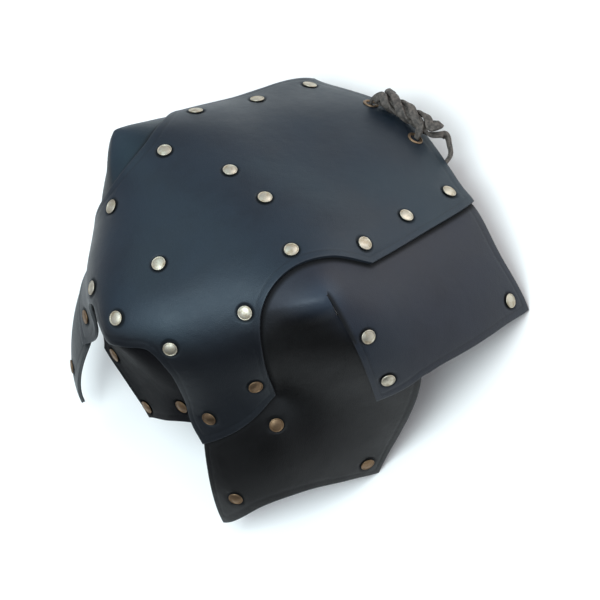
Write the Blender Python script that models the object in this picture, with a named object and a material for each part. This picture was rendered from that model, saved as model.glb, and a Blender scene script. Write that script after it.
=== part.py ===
# Leather shoulder guard: a cap plate over two skirts and an arm tab, riveted together and laced at the neck.
# It is modelled as worn, arm towards -X, front towards -Y, and then turned to rest on its four skirt corners.
import math

import bmesh
import bpy
import numpy as np
from mathutils import Matrix, Vector
from mathutils.geometry import delaunay_2d_cdt

# Driving sizes, in metres
ARM_REACH = 0.236          # eyelets to the tip of the cap, along the shoulder
DROP = 0.213               # eyelets down to the lowest skirt corner
CAP_SPREAD = 0.093         # midline to the widest point of the cap
FRONT_SPREAD = 0.140       # midline to the front skirt's widest corner
REAR_SPREAD = 0.118        # midline to the rear skirt's widest corner
LEATHER = 0.0025           # thickness of every leather piece
CLEARANCE = 0.0003         # gap between touching pieces
LAYER_GAP = 0.0007         # gap between two bowed leather pieces

RIVET_HEAD_RADIUS = 0.0048
RIVET_HEAD_HEIGHT = 0.0016
RIVET_RIM_HEIGHT = 0.0007
RIVET_STEM_RADIUS = 0.0015
RIVET_BACK_RADIUS = 0.0040
RIVET_BACK_HEIGHT = 0.0010
RIVET_SEAT = 0.0004        # gap under a head, over leather that is slightly bowed

EYELET_RADIUS = 0.0058
EYELET_BORE_RADIUS = 0.0030
EYELET_WALL = 0.0006
EYELET_FLANGE = 0.0009

# Narrow side of a rivet's back and of an eyelet's flange, over the wide side
BACK_TAPER = 0.9
FLANGE_TAPER = 0.8

LACE_RADIUS = 0.0018

LEATHER_GRID = 0.0154      # spacing of the points inside a leather piece
EDGE_STEP = 0.014          # spacing of the points along its edge
ROW_RISE = 0.866           # row spacing of the points over their spacing along a row
PAD_MARGIN = 0.35          # least distance of a point from a rivet's flat, over LEATHER_GRID
EDGE_MARGIN = 0.45         # least distance of a point from an edge, over LEATHER_GRID
ROUND_SIDES = 8
EYELET_SIDES = 10
FLAT_RADIUS = 1.2          # radius of the leather's flat round a rivet or an eyelet, over its own radius
FLAT_SIDES = 6
FLAT_ROOM = 0.9            # most of the way to an edge that the flat may take

SIDES = ((-1, "front"), (1, "rear"))
SKIRT_SPREADS = (FRONT_SPREAD, REAR_SPREAD)
CAP_OUTER = LAYER_GAP / 2 + LEATHER     # the cap's outer face, above the form
UNDER_OUTER = -LAYER_GAP / 2            # the outer face of what lies under the cap, above the form

# The hollow's centre, from which the form is measured, and the way its map looks down on the shoulder
CENTRE_ALONG = 0.42
CENTRE_DOWN = 0.375
MAP_LEAN = math.radians(48)
FORM_SOFTNESS = 0.004

# A crease runs armward from each dart peak and fades out under the cap
CREASE_LIFT = 0.0055       # its height at the peak
CREASE_WIDTH = 0.032       # from its line to where the leather is smooth again

# Form of the leather down the midline: along and down, as shares of ARM_REACH and DROP
MIDLINE_FORM = [
    ("neck edge", -0.050, 0.003),
    ("eyelets", 0.010, 0.000),
    ("shoulder top", 0.220, -0.020),
    ("shoulder middle", 0.465, -0.024),
    ("crown", 0.635, -0.005),
    ("shoulder point", 0.785, 0.094),
    ("upper arm", 0.858, 0.160),
    ("cap tip", 0.983, 0.305),
    ("cusp", 1.000, 0.366),
    ("arm tab upper", 0.953, 0.423),
    ("arm tab tip", 0.788, 0.790),
]

# Form under the cap: along, across and down, as shares of ARM_REACH, CAP_SPREAD and DROP
CAP_FORM = [
    ("neck rivet", 0.034, 0.710, 0.052),
    ("neck corner", -0.008, 0.839, 0.075),
    ("edge rivet", 0.233, 0.763, 0.033),
    ("arch rivet", 0.436, 0.860, 0.019),
    ("arch start", 0.449, 0.978, 0.052),
    ("crown side", 0.636, 0.656, 0.014),
    ("shoulder side", 0.784, 0.677, 0.164),
    ("arm side", 0.928, 0.387, 0.319),
    ("side tab upper", 0.758, 0.817, 0.418),
    ("side tab lower", 0.822, 0.624, 0.573),
    ("side tab corner", 0.699, 0.892, 0.460),
    ("side tab tip", 0.822, 0.613, 0.685),
    ("arm tab side", 0.843, 0.398, 0.586),
]

# Form of the skirts: along, front and rear width, and down, as shares of ARM_REACH, each SPREAD and DROP
SKIRT_FORM = [
    ("dart peak", 0.661, 0.714, 0.847, 0.042),
    ("flap neck corner", -0.013, 1.000, 1.000, 0.296),
    ("flap neck rivet", 0.059, 0.964, 0.960, 0.235),
    ("flap dart upper", 0.580, 0.879, 0.930, 0.155),
    ("flap dart lower", 0.525, 0.957, 0.980, 0.310),
    ("flap tip", 0.487, 0.964, 0.980, 0.451),
    ("skirt front corner", 0.411, 0.914, 0.980, 0.779),
    ("skirt arm corner", 0.742, 0.500, 0.600, 1.000),
    ("skirt middle", 0.716, 0.657, 0.760, 0.535),
]

# Where each crease fades out: along, and shares of CAP_SPREAD and DROP
CREASE_END = (0.790, 0.800, 0.135)

# Outlines. A bend is a point on a smooth curve between two corners; columns are along, front, rear, down.
CAP_OUTLINE = [
    ("corner", -0.059, 0.000, 0.000, 0.003),
    ("bend", -0.056, 0.300, 0.300, 0.010),
    ("bend", -0.030, 0.600, 0.580, 0.040),
    ("corner", -0.003, 0.857, 0.785, 0.066),
    ("corner", 0.462, 1.000, 0.985, 0.040),
    ("bend", 0.570, 0.880, 0.880, -0.003),
    ("bend", 0.669, 0.785, 0.785, 0.015),
    ("bend", 0.743, 0.763, 0.763, 0.077),
    ("bend", 0.778, 0.806, 0.806, 0.171),
    ("bend", 0.760, 0.882, 0.882, 0.320),
    ("corner", 0.709, 0.914, 0.914, 0.449),
    ("corner", 0.831, 0.634, 0.634, 0.675),
    ("bend", 0.835, 0.500, 0.500, 0.605),
    ("bend", 0.869, 0.452, 0.452, 0.504),
    ("bend", 0.923, 0.409, 0.409, 0.403),
    ("bend", 0.967, 0.280, 0.280, 0.338),
    ("bend", 0.995, 0.130, 0.130, 0.355),
    ("corner", 1.005, 0.000, 0.000, 0.375),
]
ARM_TAB_OUTLINE = [
    ("corner", 0.508, 0.000, 0.000, -0.014),
    ("corner", 0.508, 0.323, 0.323, -0.010),
    ("bend", 0.805, 0.452, 0.452, 0.155),
    ("bend", 0.915, 0.484, 0.450, 0.320),
    ("bend", 0.864, 0.520, 0.430, 0.490),
    ("corner", 0.830, 0.559, 0.410, 0.610),
    ("bend", 0.833, 0.426, 0.280, 0.644),
    ("bend", 0.830, 0.319, 0.200, 0.677),
    ("bend", 0.815, 0.182, 0.110, 0.725),
    ("corner", 0.787, 0.000, 0.000, 0.790),
]
# The two halves of a skirt meet on the seam from the hidden edge to the dart peak. A cap corner or a cap bend
# lies under the cap, and its widths are shares of CAP_SPREAD.
FLAP_OUTLINE = [
    ("cap corner", 0.542, 0.581, 0.581, -0.005),
    ("cap corner", 0.233, 0.623, 0.584, 0.010),
    ("cap corner", 0.017, 0.602, 0.546, 0.034),
    ("cap corner", 0.000, 0.846, 0.780, 0.072),
    ("bend", 0.017, 0.809, 0.825, 0.159),
    ("corner", -0.013, 1.000, 1.000, 0.297),
    ("bend", 0.119, 1.030, 1.010, 0.282),
    ("bend", 0.331, 1.040, 1.017, 0.296),
    ("corner", 0.418, 1.023, 1.000, 0.322),
    ("corner", 0.524, 0.937, 0.970, 0.412),
    ("corner", 0.656, 0.709, 0.847, 0.042),
]
TAB_OUTLINE = [
    ("corner", 0.656, 0.709, 0.847, 0.042),
    ("corner", 0.629, 0.757, 0.868, 0.122),
    ("corner", 0.525, 0.786, 0.890, 0.094),
    ("corner", 0.403, 0.979, 0.975, 0.225),
    ("corner", 0.415, 1.005, 0.990, 0.345),
    ("corner", 0.410, 0.911, 0.980, 0.784),
    ("bend", 0.515, 0.872, 0.945, 0.767),
    ("bend", 0.633, 0.791, 0.865, 0.784),
    ("bend", 0.716, 0.671, 0.765, 0.862),
    ("corner", 0.739, 0.498, 0.600, 1.003),
    ("cap corner", 0.822, 0.619, 0.619, 0.690),
    ("cap bend", 0.843, 0.571, 0.571, 0.554),
    ("cap bend", 0.860, 0.571, 0.571, 0.399),
    ("cap bend", 0.805, 0.581, 0.581, 0.188),
    ("cap bend", 0.657, 0.516, 0.516, 0.020),
    ("cap corner", 0.542, 0.581, 0.581, -0.005),
]
SEAM_POINTS = 3
SLIT_GAP = 0.0006          # the slit's width where the two halves part
TUCK_START = 0.004         # distance from the dart peak where the tab starts to sink under the flap
TUCK_FULL = 0.018
TUCK_HOLD = 0.006          # distance from the slit over which the tab stays fully sunk
TUCK_FADE = 0.045

# Rivets: name, leather pieces held, along, front, rear, down. A midline rivet has no width.
CAP_RIVETS = [
    ("neck", "skirt", 0.055, 0.739, 0.690, 0.038),
    ("edge", "skirt", 0.249, 0.792, 0.722, 0.024),
    ("arch", "skirt", 0.449, 0.870, 0.820, 0.011),
    ("crown", "skirt", 0.643, 0.665, 0.630, 0.004),
    ("ridge", "arm_tab", 0.578, 0.205, 0.150, -0.027),
    ("shoulder", "skirt", 0.794, 0.690, 0.650, 0.155),
    ("arm", "arm_tab", 0.940, 0.398, 0.355, 0.309),
    ("side_upper", "skirt", 0.767, 0.835, 0.835, 0.407),
    ("side_lower", "skirt", 0.832, 0.643, 0.643, 0.564),
    ("upper_arm_middle", "arm_tab", 0.863, 0.000, 0.000, 0.149),
    ("cap_tip_middle", "arm_tab", 0.990, 0.000, 0.000, 0.293),
]
SKIRT_RIVETS = [
    ("dart_upper", 0.579, 0.879, 0.930, 0.157),
    ("dart_lower", 0.517, 0.961, 0.975, 0.318),
    ("flap_corner", 0.061, 0.968, 0.955, 0.238),
    ("skirt_corner", 0.470, 0.906, 0.960, 0.715),
    ("skirt_arm", 0.770, 0.585, 0.650, 0.850),
    ("skirt_middle", 0.715, 0.655, 0.760, 0.537),
]
ARM_TAB_RIVETS = [
    ("arm_tab_side", 0.843, 0.398, 0.270, 0.586),
    ("arm_tab_tip_middle", 0.789, 0.000, 0.000, 0.724),
]
EYELETS = [("eyelet_front", 0.006, 0.240, 0.0), ("eyelet_rear", 0.006, -0.210, 0.0)]

# Route of the lace as worn: up through the front eyelet, along the edge and down through the rear one, round
# the neck edge, back in turns about itself, and round the edge again. X and Z are metres from the middle of
# the eyelets, and Y is a share of CAP_SPREAD, as the eyelets' own places are.
LACE_START = [
    (-0.0030, -0.225, -0.0080), (-0.0014, -0.240, 0.0000), (-0.0004, -0.245, 0.0052), (0.0010, -0.204, 0.0093),
    (0.0030, -0.118, 0.0100), (0.0030, 0.108, 0.0100), (0.0012, 0.180, 0.0098), (-0.0003, 0.218, 0.0056),
    (-0.0014, 0.210, 0.0000), (-0.0024, 0.203, -0.0056), (0.0025, 0.220, -0.0088), (0.0100, 0.237, -0.0080),
    (0.0162, 0.226, -0.0020), (0.0168, 0.204, 0.0040), (0.0130, 0.177, 0.0090),
]
LACE_TURNS = 3
LACE_TURN_RADIUS = 0.0043
LACE_TURN_CENTRE = (0.003, 0.0100)
LACE_TURN_SPAN = (0.145, -0.151)
LACE_END = [
    (0.0105, -0.194, 0.0090), (0.0145, -0.258, 0.0060), (0.0168, -0.312, 0.0010), (0.0160, -0.355, -0.0045),
    (0.0110, -0.387, -0.0085), (0.0050, -0.409, -0.0105),
]
LACE_POINTS = 48

MATERIALS = {
    "leather": ((0.016, 0.020, 0.028), 0.42, 0.0),
    "brass": ((0.52, 0.44, 0.30), 0.32, 1.0),
    "lace": ((0.12, 0.095, 0.075), 0.70, 0.0),
}


def clear_scene():
    for item in list(bpy.data.objects):
        bpy.data.objects.remove(item, do_unlink=True)


def make_material(name, colour, roughness, metallic):
    material = bpy.data.materials.new(name)
    material.use_nodes = True
    shader = material.node_tree.nodes["Principled BSDF"]
    shader.inputs["Base Color"].default_value = (*colour, 1.0)
    shader.inputs["Roughness"].default_value = roughness
    shader.inputs["Metallic"].default_value = metallic
    return material


def place(along, across, down):
    return np.array([-along * ARM_REACH, across, -down * DROP])


def smooth_step(value, low, high):
    t = np.clip((value - low) / (high - low), 0.0, 1.0)
    return t * t * (3 - 2 * t)


class LeatherForm:
    """The face that every leather piece follows: a distance from the hollow's centre in each direction."""

    def __init__(self):
        self.centre = place(CENTRE_ALONG, 0.0, CENTRE_DOWN)
        self.up = np.array([-math.sin(MAP_LEAN), 0.0, math.cos(MAP_LEAN)])
        self.arm = np.array([-math.cos(MAP_LEAN), 0.0, -math.sin(MAP_LEAN)])
        self.front = np.array([0.0, -1.0, 0.0])
        points = np.array(self.known_points())
        self.anchors = self.to_map(points)
        reach = np.linalg.norm(points - self.centre, axis=1)
        self.mean_reach = reach.mean()
        self.creases = self.crease_lines()
        reach = reach - self.crease_lift(self.anchors)
        count = len(points)
        system = np.zeros((count + 3, count + 3))
        system[:count, :count] = self.kernel(self.anchors) + FORM_SOFTNESS * np.eye(count)
        system[:count, count] = 1.0
        system[:count, count + 1:] = self.anchors
        system[count:, :count] = system[:count, count:].T
        self.weights = np.linalg.solve(system, np.concatenate([reach, np.zeros(3)]))

    def known_points(self):
        points = [place(along, 0.0, down) for _, along, down in MIDLINE_FORM]
        for _, along, across, down in CAP_FORM:
            points += [place(along, side * across * CAP_SPREAD, down) for side in (-1, 1)]
        for _, along, front, rear, down in SKIRT_FORM:
            points.append(place(along, -front * FRONT_SPREAD, down))
            points.append(place(along, rear * REAR_SPREAD, down))
        return points

    def crease_lines(self):
        _, along, front, rear, down = SKIRT_FORM[0]
        end_along, end_across, end_down = CREASE_END
        lines = []
        for (side, _), share, spread in zip(SIDES, (front, rear), SKIRT_SPREADS):
            ends = [place(along, side * share * spread, down),
                    place(end_along, side * end_across * CAP_SPREAD, end_down)]
            lines.append(self.to_map(np.array(ends)))
        return lines

    def crease_lift(self, spots):
        lift = np.zeros(len(spots))
        for start, end in self.creases:
            run = end - start
            share = np.clip((spots - start) @ run / (run @ run), 0.0, 1.0)
            away = np.linalg.norm(spots - start - share[:, None] * run, axis=1) * self.mean_reach
            lift += CREASE_LIFT * (1.0 - share) * np.clip(1.0 - away / CREASE_WIDTH, 0.0, 1.0) ** 2
        return lift

    def kernel(self, spots):
        # Thin plate spline
        gap = ((spots[:, None, :] - self.anchors[None, :, :]) ** 2).sum(-1)
        return np.where(gap > 0, 0.5 * gap * np.log(np.maximum(gap, 1e-18)), 0.0)

    def to_map(self, points):
        way = points - self.centre
        way = way / np.linalg.norm(way, axis=1)[:, None]
        arm, front = way @ self.arm, way @ self.front
        flat = np.maximum(np.hypot(arm, front), 1e-12)
        angle = np.arctan2(flat, way @ self.up)
        return np.column_stack([arm, front]) * (angle / flat)[:, None]

    def from_map(self, spots):
        angle = np.maximum(np.hypot(spots[:, 0], spots[:, 1]), 1e-12)
        share = np.sin(angle) / angle
        way = np.cos(angle)[:, None] * self.up + (share * spots[:, 0])[:, None] * self.arm
        way = way + (share * spots[:, 1])[:, None] * self.front
        count = len(self.anchors)
        reach = self.kernel(spots) @ self.weights[:count] + self.weights[count]
        reach = reach + spots @ self.weights[count + 1:] + self.crease_lift(spots)
        return self.centre + reach[:, None] * way

    def face(self, spots):
        step = 1e-4
        points = self.from_map(spots)
        one = self.from_map(spots + [step, 0.0]) - points
        two = self.from_map(spots + [0.0, step]) - points
        normals = np.cross(one, two)
        normals /= np.linalg.norm(normals, axis=1)[:, None]
        outward = np.sign((normals * (points - self.centre)).sum(1))
        return points, normals * outward[:, None]

    def at(self, point):
        points, normals = self.face(self.to_map(np.array([point])))
        return points[0], normals[0]


def outline_points(rows, side, spread):
    """The outline's corners and curves as worn points; side is -1 at the front and 1 at the rear."""
    column = 2 if side < 0 else 3
    spreads = [CAP_SPREAD if row[0].startswith("cap") else spread for row in rows]
    spots = [place(row[1], side * row[column] * width, row[4]) for row, width in zip(rows, spreads)]
    corners = [i for i, row in enumerate(rows) if row[0].endswith("corner")]
    path = [spots[corners[0]]]
    for first, last in zip(corners, corners[1:]):
        run = spots[first:last + 1]
        path += split_line(run) if len(run) == 2 else split_curve(run)
    return path


def whole_outline(rows):
    front = outline_points(rows, -1, CAP_SPREAD)
    rear = outline_points(rows, 1, CAP_SPREAD)
    return front + rear[-2:0:-1]


def split_line(run):
    start, end = run
    steps = max(1, round(np.linalg.norm(end - start) / EDGE_STEP))
    return [start + (end - start) * i / steps for i in range(1, steps + 1)]


def split_curve(run, step=EDGE_STEP):
    # Catmull-Rom through the run's points
    padded = [2 * run[0] - run[1]] + list(run) + [2 * run[-1] - run[-2]]
    path = []
    for a, b, c, d in zip(padded, padded[1:], padded[2:], padded[3:]):
        steps = max(2, round(np.linalg.norm(c - b) / step))
        for i in range(1, steps + 1):
            t = i / steps
            path.append(0.5 * (2 * b + (c - a) * t + (2 * a - 5 * b + 4 * c - d) * t * t
                               + (3 * b - a - 3 * c + d) * t ** 3))
    return path


def inside(spots, outline):
    start, end = outline, np.roll(outline, -1, axis=0)
    x, y = spots[:, 0][:, None], spots[:, 1][:, None]
    crosses = (start[:, 1] > y) != (end[:, 1] > y)
    rise = np.where(end[:, 1] == start[:, 1], 1e-12, end[:, 1] - start[:, 1])
    cut = start[:, 0] + (y - start[:, 1]) * (end[:, 0] - start[:, 0]) / rise
    return (crosses & (x < cut)).sum(1) % 2 == 1


def edge_distance(spots, outline):
    start, end = outline, np.roll(outline, -1, axis=0)
    run = end - start
    offset = spots[:, None, :] - start[None, :, :]
    share = np.clip((offset * run).sum(-1) / np.maximum((run ** 2).sum(-1), 1e-12), 0, 1)
    return np.linalg.norm(offset - share[..., None] * run, axis=-1).min(1)


class Sheet:
    """A leather piece: one or two flat halves on the form's map, sewn along shared points, then thickened."""

    def __init__(self, form, outer, layer):
        self.form = form
        self.outer = outer          # offset of the outer face from the form
        self.layer = layer          # extra offset of a point, by the half it is in
        self.tops, self.bottoms, self.triangles, self.keys = [], [], [], {}

    def add_point(self, point, normal, lift, key=None):
        if key is not None and key in self.keys:
            return self.keys[key]
        self.tops.append(point + normal * (self.outer + lift))
        self.bottoms.append(point + normal * (self.outer + lift - LEATHER))
        if key is not None:
            self.keys[key] = len(self.tops) - 1
        return len(self.tops) - 1

    def add_half(self, half, path, holes, shared=(), over=None):
        spots = self.form.to_map(np.array(path))
        points, normals = self.form.face(spots)
        flat = [Vector(spot) for spot in spots]
        index = []
        for i, (point, normal) in enumerate(zip(points, normals)):
            key = shared[i] if i < len(shared) else None
            index.append(self.add_point(point, normal, self.layer(half, point), key))
        count = len(flat)
        edges = [(i, (i + 1) % count) for i in range(count)]
        hole_sets, pads = [], []
        for centre, radius, pad in holes:
            seat, normal = self.form.at(centre)
            side = np.cross(normal, [1.0, 0.0, 0.0])
            side /= np.linalg.norm(side)
            other = np.cross(normal, side)
            lift = self.layer(half, seat)
            spot = self.form.to_map(np.array([seat]))
            depth = np.linalg.norm(seat - self.form.centre)
            pad = min(pad, FLAT_ROOM * edge_distance(spot, spots)[0] * depth)
            for reach, sides in ((radius, ROUND_SIDES), (pad, FLAT_SIDES)):
                ring = []
                for i in range(sides):
                    turn = 2 * math.pi * i / sides
                    rim = seat + reach * (math.cos(turn) * side + math.sin(turn) * other)
                    ring.append(len(flat))
                    flat.append(Vector(self.form.to_map(np.array([rim]))[0]))
                    index.append(self.add_point(rim, normal, lift))
                edges += [(ring[i], ring[(i + 1) % sides]) for i in range(sides)]
                if reach == radius:
                    hole_sets.append(set(ring))
            pads.append((spot[0], pad / depth))
        grid = LEATHER_GRID / self.form.mean_reach
        for spot in self.grid_spots(spots, grid, pads, over):
            point, normal = self.form.face(np.array([spot]))
            flat.append(Vector(spot))
            index.append(self.add_point(point[0], normal[0], self.layer(half, point[0])))
        result = delaunay_2d_cdt(flat, edges, [], 0, 1e-7, True)
        source = [ids[0] for ids in result[3]]
        for face in result[2]:
            corners = [source[i] for i in face]
            if any(set(corners) <= hole for hole in hole_sets):
                continue
            a, b, c = (flat[i] for i in corners)
            if not inside(np.array([(a + b + c) / 3]), spots)[0]:
                continue
            if (b - a).cross(c - a) < 0:
                corners.reverse()
            self.triangles.append([index[i] for i in corners])

    def grid_spots(self, outline, step, pads, over):
        # One lattice for every piece, and the edge of the piece above it, so that their facets lie parallel
        low, high = outline.min(0), outline.max(0)
        rise = step * ROW_RISE
        spots = []
        for row in range(math.floor(low[1] / rise), math.ceil(high[1] / rise) + 1):
            for column in range(math.floor(low[0] / step) - 1, math.ceil(high[0] / step) + 1):
                spots.append(((column + 0.5 * (row % 2)) * step, row * rise))
        spots = np.array(spots)
        if over is not None:
            edge = self.form.to_map(np.array(over))
            spots = np.vstack([edge, spots[edge_distance(spots, edge) > EDGE_MARGIN * step]])
        keep = inside(spots, outline) & (edge_distance(spots, outline) > EDGE_MARGIN * step)
        for centre, pad in pads:
            keep &= np.linalg.norm(spots - centre, axis=1) > pad + PAD_MARGIN * step
        return spots[keep]

    def to_mesh(self, name):
        mesh = bmesh.new()
        tops = [mesh.verts.new(p) for p in self.tops]
        bottoms = [mesh.verts.new(p) for p in self.bottoms]
        sides = {}
        for triangle in self.triangles:
            mesh.faces.new([tops[i] for i in triangle])
            mesh.faces.new([bottoms[i] for i in reversed(triangle)])
            for i, j in zip(triangle, triangle[1:] + triangle[:1]):
                sides[(i, j)] = sides.get((i, j), 0) + 1
        for i, j in sides:
            if (j, i) not in sides:
                mesh.faces.new([tops[j], tops[i], bottoms[i], bottoms[j]])
        data = bpy.data.meshes.new(name)
        mesh.to_mesh(data)
        mesh.free()
        return data


def add_object(name, data, material):
    item = bpy.data.objects.new(name, data)
    bpy.context.collection.objects.link(item)
    data.materials.append(material)
    return item


def turned_mesh(name, profile, sides, seat, normal):
    """A round piece: profile rows are radius and height above the seat, from the top inwards or to the axis."""
    side = np.cross(normal, [1.0, 0.0, 0.0])
    side /= np.linalg.norm(side)
    other = np.cross(normal, side)
    mesh = bmesh.new()
    rings = []
    for radius, height in profile:
        centre = seat + normal * height
        if radius == 0:
            rings.append([mesh.verts.new(centre)])
            continue
        turns = [2 * math.pi * i / sides for i in range(sides)]
        rings.append([mesh.verts.new(centre + radius * (math.cos(t) * side + math.sin(t) * other)) for t in turns])
    pairs = list(zip(rings, rings[1:]))
    if len(rings[0]) > 1:
        pairs.append((rings[-1], rings[0]))
    for upper, lower in pairs:
        for i in range(sides):
            j = (i + 1) % sides
            if len(upper) == 1:
                mesh.faces.new([upper[0], lower[i], lower[j]])
            elif len(lower) == 1:
                mesh.faces.new([upper[j], upper[i], lower[0]])
            else:
                mesh.faces.new([upper[i], lower[i], lower[j], upper[j]])
    bmesh.ops.recalc_face_normals(mesh, faces=mesh.faces)
    data = bpy.data.meshes.new(name)
    mesh.to_mesh(data)
    mesh.free()
    return data


def rivet_mesh(name, seat, normal, top, bottom):
    head, back = top + RIVET_SEAT, bottom - RIVET_SEAT
    profile = [
        (0.0, head + RIVET_HEAD_HEIGHT),
        (RIVET_HEAD_RADIUS, head + RIVET_RIM_HEIGHT),
        (RIVET_HEAD_RADIUS, head),
        (RIVET_STEM_RADIUS, head),
        (RIVET_STEM_RADIUS, back),
        (RIVET_BACK_RADIUS, back),
        (BACK_TAPER * RIVET_BACK_RADIUS, back - RIVET_BACK_HEIGHT),
        (0.0, back - RIVET_BACK_HEIGHT),
    ]
    return turned_mesh(name, profile, ROUND_SIDES, seat, normal)


def eyelet_mesh(name, seat, normal, top, bottom):
    barrel = EYELET_BORE_RADIUS + EYELET_WALL
    profile = [
        (EYELET_BORE_RADIUS, top + CLEARANCE + EYELET_FLANGE),
        (FLANGE_TAPER * EYELET_RADIUS, top + CLEARANCE + EYELET_FLANGE),
        (EYELET_RADIUS, top + CLEARANCE),
        (barrel, top + CLEARANCE),
        (barrel, bottom - CLEARANCE),
        (EYELET_RADIUS, bottom - CLEARANCE),
        (FLANGE_TAPER * EYELET_RADIUS, bottom - CLEARANCE - EYELET_FLANGE),
        (EYELET_BORE_RADIUS, bottom - CLEARANCE - EYELET_FLANGE),
    ]
    return turned_mesh(name, profile, EYELET_SIDES, seat, normal)


def tuck_lift(form, side, spread):
    """How far a skirt's tab sinks under its flap beside the slit that runs down from the dart peak."""
    column = 2 if side < 0 else 3
    peak_row, tip_row = FLAP_OUTLINE[-1], FLAP_OUTLINE[-2]
    peak = form.at(place(peak_row[1], side * peak_row[column] * spread, peak_row[4]))[0]
    tip, normal = form.at(place(tip_row[1], side * tip_row[column] * spread, tip_row[4]))
    down = (tip - peak) / np.linalg.norm(tip - peak)
    armward = np.cross(normal, down) * -side
    if armward[0] > 0:
        armward = -armward

    def lift(half, point):
        if half == "flap":
            return 0.0
        away = point - peak
        depth = smooth_step(away @ down, TUCK_START, TUCK_FULL)
        fade = 1.0 - smooth_step(away @ armward, TUCK_HOLD, TUCK_FADE)
        return -(LEATHER + LAYER_GAP) * depth * fade

    return lift, armward


def lace_points():
    turns = []
    middle_x, middle_z = LACE_TURN_CENTRE
    start, end = LACE_TURN_SPAN
    steps = 8 * LACE_TURNS
    for i in range(steps + 1):
        turn = 2 * math.pi * LACE_TURNS * i / steps
        turns.append((middle_x + LACE_TURN_RADIUS * math.cos(turn), start + (end - start) * i / steps,
                      middle_z + LACE_TURN_RADIUS * math.sin(turn)))
    knots = [np.array([x, across * CAP_SPREAD, z]) for x, across, z in LACE_START + turns + LACE_END]
    fine = split_curve(knots, LACE_RADIUS / 4)
    reach = np.concatenate([[0.0], np.cumsum(np.linalg.norm(np.diff(fine, axis=0), axis=1))])
    stops = np.linspace(0.0, reach[-1], LACE_POINTS)
    return np.column_stack([np.interp(stops, reach, np.array(fine)[:, axis]) for axis in range(3)])


def lace_object(points):
    curve = bpy.data.curves.new("lace", "CURVE")
    curve.dimensions = "3D"
    curve.bevel_depth = LACE_RADIUS
    curve.bevel_resolution = 2
    curve.use_fill_caps = True
    spline = curve.splines.new("POLY")
    spline.points.add(len(points) - 1)
    for knot, point in zip(spline.points, points):
        knot.co = (*point, 1.0)
    return add_object("lace", curve, make_material("lace", *MATERIALS["lace"]))


def rest_turn(points):
    """The turn about Y that sets the neck corners of the flaps and the skirt corners on one floor."""
    split = -CENTRE_ALONG / 2 * ARM_REACH
    near, far = points[points[:, 0] > split], points[points[:, 0] <= split]
    low, high = math.radians(25), math.radians(70)
    for _ in range(50):
        turn = (low + high) / 2
        heights = [(-group[:, 0] * math.sin(turn) + group[:, 2] * math.cos(turn)).min() for group in (near, far)]
        if heights[0] > heights[1]:
            low = turn
        else:
            high = turn
    return turn


def in_half(form, centre, path):
    spots = form.to_map(np.array(path))
    return bool(inside(form.to_map(np.array([centre])), spots)[0])


def rivet_places(name, along, front, rear, down, spreads):
    """A rivet on each side of the midline, or one on it: its name, the side's word and its centre."""
    if front == 0:
        return [("rivet_" + name, "", place(along, 0.0, down))]
    return [("rivet_%s_%s" % (name, word), word, place(along, side * share * spread, down))
            for (side, word), share, spread in zip(SIDES, (front, rear), spreads)]


def cap_rivets():
    """Rivets through the cap and the piece under it: name, centre, pieces held, top and bottom of the leather."""
    rows = []
    for name, under, *spot in CAP_RIVETS:
        for full_name, word, centre in rivet_places(name, *spot, (CAP_SPREAD, CAP_SPREAD)):
            held = under if under == "arm_tab" else "skirt_" + word
            rows.append((full_name, centre, ["cap_plate", held], CAP_OUTER, UNDER_OUTER - LEATHER))
    return rows


def skirt_rivets(form, lifts):
    """Rivets in the skirts alone. Those of the dart hold the flap and the sunk tab under it."""
    rows = []
    for name, *spot in SKIRT_RIVETS:
        for full_name, word, centre in rivet_places(name, *spot, SKIRT_SPREADS):
            sink = lifts[word]("tab", form.at(centre)[0])
            through_flap = name.startswith(("dart", "flap"))
            through_tab = not name.startswith("flap")
            top = UNDER_OUTER if through_flap else UNDER_OUTER + sink
            bottom = UNDER_OUTER - LEATHER + (sink if through_tab else 0.0)
            rows.append((full_name, centre, ["skirt_" + word], top, bottom))
    return rows


def arm_tab_rivets():
    rows = []
    for name, *spot in ARM_TAB_RIVETS:
        for full_name, _, centre in rivet_places(name, *spot, (CAP_SPREAD, CAP_SPREAD)):
            rows.append((full_name, centre, ["arm_tab"], UNDER_OUTER, UNDER_OUTER - LEATHER))
    return rows


def eyelet_places():
    return [(name, place(along, -across * CAP_SPREAD, down)) for name, along, across, down in EYELETS]


def holes_in_leather(rivets, eyelets):
    """Each piece's holes: centre, radius and the radius of the flat leather round it."""
    holes = {"cap_plate": [], "arm_tab": [], "skirt_front": [], "skirt_rear": []}
    for _, centre, pieces, _, _ in rivets:
        for piece in pieces:
            holes[piece].append((centre, RIVET_STEM_RADIUS + CLEARANCE, FLAT_RADIUS * RIVET_HEAD_RADIUS))
    barrel = EYELET_BORE_RADIUS + EYELET_WALL
    for _, centre in eyelets:
        holes["cap_plate"].append((centre, barrel + CLEARANCE, FLAT_RADIUS * EYELET_RADIUS))
    return holes


def whole_mesh(form, name, path, outer, holes, over=None):
    sheet = Sheet(form, outer, lambda half, point: 0.0)
    sheet.add_half("whole", path, holes, over=over)
    return sheet.to_mesh(name)


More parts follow.
